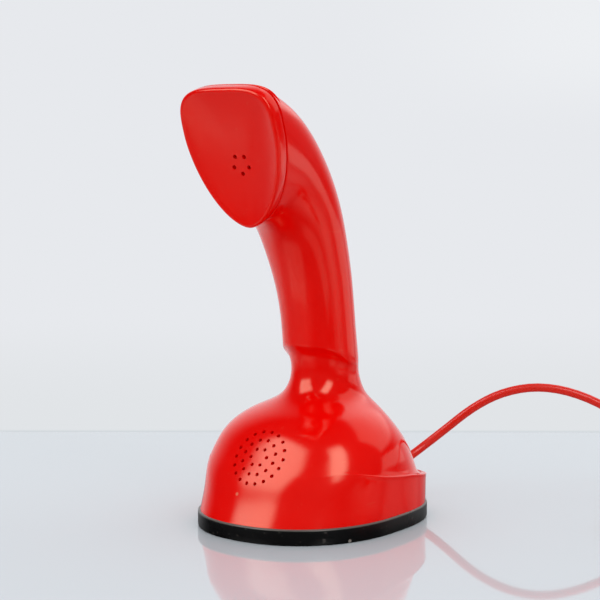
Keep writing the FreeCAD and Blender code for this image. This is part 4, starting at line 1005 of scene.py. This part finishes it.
@dataclass
class Cord(Piece):
    """The line cord: the strain relief, the arch behind the foot and the put-away coil."""

    diameter: float = 4.4
    exit_y: float = 64.0
    level: float = 13.6
    route: Rows = (
        (0.0, 64.0, 13.6), (0.0, 78.0, 13.6), (4.5, 93.0, 21.0), (14.0, 101.0, 30.5),
        (28.0, 106.6, 43.4), (42.0, 113.5, 52.0), (59.0, 121.0, 55.8), (77.0, 130.5, 52.4),
        (96.0, 140.5, 42.0), (117.0, 149.0, 26.5), (138.0, 152.5, 13.0), (160.0, 150.5, 5.0),
        (179.5, 141.0, 3.5), (192.0, 125.0, 3.5), (196.2, 106.4, 3.5), (196.2, 88.4, 3.5),
    )
    coil_middle: Span = (162.0, 84.0)
    lanes: int = 8
    widest: float = 32.975
    lane_step: float = 2.45
    low_level: float = 3.5
    high_level: float = 8.4
    tail: float = 30.0
    arc_points: int = 12
    length_steps: int = 8
    flange: Rows = (
        (2.4, 49.2), (3.2, 49.4), (3.2, 56.75), (4.4, 56.75), (4.6, 57.0), (4.6, 57.9), (4.3, 58.2),
    )
    sleeve_radius: float = 3.6
    sleeve_taper: float = 0.8
    sleeve_start: float = 58.3
    sleeve_length: float = 5.7
    ribs: int = 4
    rib_depth: float = 0.32
    rib_rows: int = 37
    relief_columns: int = 48

    def half_turn(self, x: float, reach: float, start: float, end: float) -> Array:
        """Gives the control points of one half turn of the coil.

        A control polygon of equal steps lies outside its curve, so its radius is the
        curve's radius over the cosine of half a step.

        Args:
            x: Where it starts on the coil's cross line.
            reach: Radius, negative on the way back.
            start: Level at the start.
            end: Level at the end.

        Returns:
            Points in the coil's own frame, (n, 3).
        """
        share = (np.arange(self.arc_points) + 0.5) / self.arc_points
        wide = reach / math.cos(0.5 * math.pi / self.arc_points)
        angle = np.pi * share
        level = start + (end - start) * smooth_step(share)
        return np.stack([x + reach - wide * np.cos(angle), wide * np.sin(angle), level], axis=1)

    def control_points(self) -> Array:
        """Lays the arch and then the lanes of the coil, out and back on a second level.

        Returns:
            Control points of the whole cord in millimetres, (n, 3).
        """
        wound = self.widest - self.lane_step * np.arange(self.lanes + 1)
        reaches = np.concatenate([wound, wound[-2:0:-1]])
        reaches *= np.where(np.arange(len(reaches)) % 2 == 0, 1.0, -1.0)
        starts = np.concatenate([[0.0], np.cumsum(2.0 * reaches)]) - self.widest - 0.5 * self.lane_step
        levels = np.where(np.arange(len(reaches) + 1) > self.lanes, self.high_level, self.low_level)
        turns = [self.half_turn(*turn) for turn in zip(starts, reaches, levels, levels[1:])]
        turns.append(np.array([[starts[-1], self.tail, self.high_level]]))
        coil = np.concatenate(turns)
        return np.concatenate([np.array(self.route), coil * HALF_TURN + (*self.coil_middle, 0.0)])

    def build_relief(self) -> None:
        """Turns the ribbed strain relief about the cord's way out.

        The sleeve tapers evenly, less a rib depth that follows a raised cosine.
        """
        share = np.linspace(0.0, 1.0, self.rib_rows)
        cut = self.rib_depth * (0.5 - 0.5 * np.cos(share * 2.0 * np.pi * self.ribs))
        radius = self.sleeve_radius - self.sleeve_taper * share - cut
        sleeve = np.stack([radius, self.sleeve_start + self.sleeve_length * share], axis=1)
        profile = np.concatenate([np.array(self.flange), sleeve])
        frame = np.array([[0.0, 0.0, self.level], [0.0, 0.0, 1.0], ACROSS, REARWARD])
        relief = lathe("relief_sleeve", profile, frame, self.relief_columns, closed=True)
        relief.data.set_sharp_from_angle(angle=SHARP_EDGE)
        self.settle(relief, Slot.CORD, "root", "strain_relief")

    def build(self) -> None:
        self.build_relief()
        points = self.control_points() * MM
        curve = bpy.data.curves.new("cord_line", "CURVE")
        curve.dimensions = "3D"
        curve.bevel_depth = 0.5 * self.diameter * MM
        curve.bevel_resolution = 5
        curve.use_fill_caps = True
        spline = curve.splines.new("NURBS")
        spline.points.add(len(points) - 1)
        spline.points.foreach_set("co", np.column_stack([points, np.ones(len(points))]).ravel())
        spline.order_u = 3
        spline.use_endpoint_u = True
        spline.resolution_u = 4
        cord = linked("cord_line", curve)
        self.settle(cord, Slot.CORD, "root", "line_cord", "cord_coil")
        self.length(points)

    def length(self, points: Array) -> float:
        """Measures the quadratic curve that the control points draw.

        Args:
            points: Control points in metres.

        Returns:
            Length in metres.
        """
        half = 0.5 * (points[1:] + points[:-1])
        half[0] = points[0]
        half[-1] = points[-1]
        share = np.linspace(0.0, 1.0, self.length_steps + 1)[:, None, None]
        first, last = half[:-1], half[1:]
        arc = (1.0 - share) ** 2 * first + 2.0 * share * (1.0 - share) * points[1:-1] + share**2 * last
        return float(np.linalg.norm(np.diff(arc, axis=0), axis=2).sum())


@dataclass(frozen=True)
class Softbox:
    """A softbox that spans two bearings, a low and a high one, from the object.

    Spill is the share of its radiance that lights dull surfaces, and soft the share of
    each side over which it fades. The width, the distance and the aim are in metres.
    """

    name: str
    low: Span
    high: Span
    width: float
    radiance: float
    spill: float = 0.35
    soft: float = 0.12
    distance: float = 1.3
    aim: Triple = (0.0, 0.0, 0.09)

    def fade(self, data: bpy.types.AreaLight) -> None:
        """Lets the light fade towards the sides of the box.

        Args:
            data: The lamp's data.
        """
        data.use_nodes = True
        tree = Tree(data.node_tree)
        place = tree.add("NewGeometry", {}).outputs["Parametric"]
        offset = tree.vector("SUBTRACT", place, (0.5, 0.5, 0.0)).outputs[0]
        size = tree.vector("ABSOLUTE", offset).outputs[0]
        sides = tree.add("SeparateXYZ", {0: size}).outputs
        span = (0.5, 0.5 - self.soft)
        light = tree.times(tree.ramp(sides["X"], span), tree.ramp(sides["Y"], span))
        tree.feed(data.node_tree.nodes["Emission"], {"Strength": light})

    def build(self) -> None:
        """Sets one lamp for mirrors and one for dull surfaces.

        The power of a lamp is pi times its area times its radiance.
        """
        bottom, top = Vector(bearing(*self.low)), Vector(bearing(*self.high))
        away = (bottom + top).normalized()
        along = (top - bottom).normalized()
        height = 2.0 * self.distance * math.tan(0.5 * bottom.angle(top))
        turn = Matrix((along.cross(away), along, away)).transposed().to_4x4()
        kinds = ((self.name, 1.0, True), (f"{self.name}_spill", self.spill, False))
        for name, share, mirrored in kinds:
            data = bpy.data.lights.new(name, "AREA")
            data.shape = "RECTANGLE"
            data.size = self.width
            data.size_y = height
            data.energy = math.pi * self.width * height * self.radiance * share
            self.fade(data)
            lamp = linked(name, data)
            lamp.visible_camera = False
            lamp.visible_glossy = mirrored
            lamp.visible_diffuse = not mirrored
            lamp.matrix_world = Matrix.Translation(Vector(self.aim) + away * self.distance) @ turn


@dataclass
class Stage:
    """The camera, the pale glossy table, the backdrop and the lamps.

    Each of the table's painted shades, which only reflections see, is a bearing, the
    cosines of its inner and outer half-angle and its least light.
    """

    azimuth: float = 36.0
    distance: float = 790.9
    height: float = 181.7
    pitch: float = 5.44
    yaw: float = -0.31
    lens: float = 99.88
    sensor: float = 36.0
    clip: Span = (0.01, 50.0)
    backdrop: Colour = linear(231, 233, 237)
    # Painted light: the backdrop that the camera sees is lighter to the right and higher up.
    bright_side: Colour = linear(237, 239, 242)
    bright_span: Span = (0.0, 0.18)
    bright_rise: Span = (0.0, 0.06)
    room_bearing: float = 215.0
    room_turn: Span = (0.42, 0.95)
    room_glow: Span = (0.01, 1.0)
    ceiling: Span = (0.85, 0.97)
    ceiling_glow: Span = (1.0, 0.08)
    fill: float = 1.16
    floor_half: float = 6.0
    table: Colour = linear(212, 218, 221)
    table_rough: float = 0.04
    table_index: float = 1.65
    # Painted shade: the dark colour that reflections see on the table near the object and in the shaded
    # sectors.
    table_near: Colour = (0.02, 0.02, 0.02)
    table_far: Colour = (0.78, 0.78, 0.78)
    table_reach: Span = (0.05, 0.2)
    table_shades: Rows = (
        (45.0, 0.913, 0.574, 0.0), (142.0, 0.95, 0.766, 0.35), (-30.0, 0.88, 0.574, 0.35),
    )
    edge: Span = (0.24, 0.242)
    edge_line: Colour = linear(212, 218, 222)
    line_span: Span = (0.243, 0.252)
    # Painted shade: the backdrop past the table's far edge is darker near the edge and lightens away
    # from it.
    haze: Colour = linear(225, 228, 231)
    haze_span: Span = (0.24, 0.96)
    boxes: tuple[Softbox, ...] = (
        Softbox("left_box", (-27.0, 17.0), (-27.0, 62.0), 1.2, 3.7, soft=0.22),
        Softbox("right_box", (69.0, 12.0), (51.0, 65.0), 0.6, 4.6, soft=0.28),
        Softbox("back_panel", (164.0, 16.0), (164.0, 63.0), 1.5, 0.75, 0.85),
        Softbox("low_panel", (146.0, -7.0), (146.0, 9.0), 0.26, 0.6, 0.25, 0.1, 0.4, (0.0, 0.0, 0.06)),
    )

    def build_camera(self) -> None:
        """Sets the camera where the photograph was taken from."""
        place = Vector(bearing(self.azimuth, 0.0)) * self.distance + Vector((0.0, 0.0, self.height))
        turn = Matrix.Rotation(math.radians(self.azimuth - self.yaw), 4, "Z")
        tilt = Matrix.Rotation(math.radians(90.0 - self.pitch), 4, "X")
        data = bpy.data.cameras.new("camera")
        data.lens = self.lens
        data.sensor_width = self.sensor
        data.clip_start, data.clip_end = self.clip
        camera = linked("camera", data)
        camera.matrix_world = Matrix.Translation(place * MM) @ turn @ tilt
        bpy.context.scene.camera = camera

    def build_world(self) -> None:
        """Makes a room that is pale behind the object and dark on the camera's side."""
        world = bpy.data.worlds.new("room")
        bpy.context.scene.world = world
        world.use_nodes = True
        tree = Tree(world.node_tree)
        coords = tree.add("TexCoord", {}).outputs["Generated"]
        height = tree.add("SeparateXYZ", {0: coords}).outputs["Z"]
        walls = tree.ramp(tree.toward(coords, self.room_bearing), self.room_turn, self.room_glow)
        roof = tree.ramp(height, self.ceiling, self.ceiling_glow)
        room = world.node_tree.nodes["Background"]
        tree.feed(room, {"Color": self.backdrop, "Strength": tree.times(walls, roof)})
        # Painted light on the backdrop: lighter to the right of the view and higher up.
        right = tree.ramp(tree.toward(coords, self.azimuth + 90.0), self.bright_span)
        above = tree.ramp(height, self.bright_rise)
        sheet = tree.mix(tree.times(right, above), self.backdrop, self.bright_side)
        plain = tree.add("Background", {"Color": sheet})
        soft = tree.add("Background", {"Color": self.backdrop, "Strength": self.fill})
        path = tree.add("LightPath", {}).outputs
        lit = tree.shade(path["Is Diffuse Ray"], room, soft)
        seen = tree.shade(path["Is Camera Ray"], lit, plain)
        tree.feed(world.node_tree.nodes["World Output"], {"Surface": seen.outputs[0]})

    def mirrored_table(self, tree: Tree, coords: Socket) -> Socket:
        """Gives the table's colour as the object mirrors it.

        Painted shade makes it dark near the object and in a few sectors.

        Args:
            tree: Tree of the table's material.
            coords: Socket of the place on the table.

        Returns:
            The socket of the colour.
        """
        aim = tree.vector("NORMALIZE", coords).outputs[0]
        share = tree.ramp(tree.vector("LENGTH", coords).outputs["Value"], self.table_reach)
        for azimuth, inside, outside, least in self.table_shades:
            shade = tree.ramp(tree.toward(aim, azimuth), (inside, outside), (least, 1.0))
            share = tree.times(share, shade)
        return tree.mix(share, self.table_near, self.table_far)

    def build_floor(self) -> None:
        """Lays the table; past its far edge the camera sees the backdrop."""
        half = self.floor_half
        mesh = bpy.data.meshes.new("table")
        corners = [(-half, -half, 0.0), (half, -half, 0.0), (half, half, 0.0), (-half, half, 0.0)]
        mesh.from_pydata(corners, [], [(0, 1, 2, 3)])
        floor = linked("table", mesh)
        made = bpy.data.materials.new("table_top")
        made.use_nodes = True
        tree = Tree(made.node_tree)
        coords = tree.add("TexCoord", {}).outputs["Object"]
        path = tree.add("LightPath", {}).outputs
        mirrored = self.mirrored_table(tree, coords)
        glass = made.node_tree.nodes["Principled BSDF"]
        # Only reflections see the table with its painted shade; camera and diffuse rays see the plain
        # table.
        tree.feed(glass, {
            "Base Color": tree.mix(path["Is Glossy Ray"], self.table, mirrored),
            "Roughness": self.table_rough,
            "IOR": self.table_index,
        })
        away = tree.toward(coords, 180.0 + self.azimuth)
        # Painted shade on the backdrop past the edge, which lightens into the plain backdrop further
        # away.
        edge_into_shade = tree.mix(tree.ramp(away, self.line_span), self.edge_line, self.haze)
        clear = tree.mix(tree.ramp(away, self.haze_span), edge_into_shade, self.backdrop)
        far = tree.add("Emission", {"Color": clear})
        past = tree.times(tree.ramp(away, self.edge), path["Is Camera Ray"])
        seen = tree.shade(past, glass, far)
        tree.feed(made.node_tree.nodes["Material Output"], {"Surface": seen.outputs[0]})
        mesh.materials.append(made)

    def build(self) -> None:
        """Builds the camera, the room, the table and the lamps."""
        self.build_camera()
        self.build_world()
        self.build_floor()
        for box in self.boxes:
            box.build()


def main() -> None:
    """Builds every piece in order."""
    logging.basicConfig(level=logging.INFO)
    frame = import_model()
    bpy.context.scene.view_settings.view_transform = "Standard"
    wear = wear_group()
    materials = {finish.slot: finish.material(wear) for finish in FINISHES}
    Stage().build()
    for kind in (Cord, Case, EarCap, FootRing, Dial):
        group = kind(materials, frame["nodes"])
        group.build()
        for piece in group.made:
            LOG.info("%s: %s", kind.__name__, piece.name)
    for slot, names in NODE_SLOTS.items():
        for name in names:
            mesh = frame["nodes"][name].data
            mesh.materials.clear()
            mesh.materials.append(materials[slot])


if __name__ == "__main__":
    main()
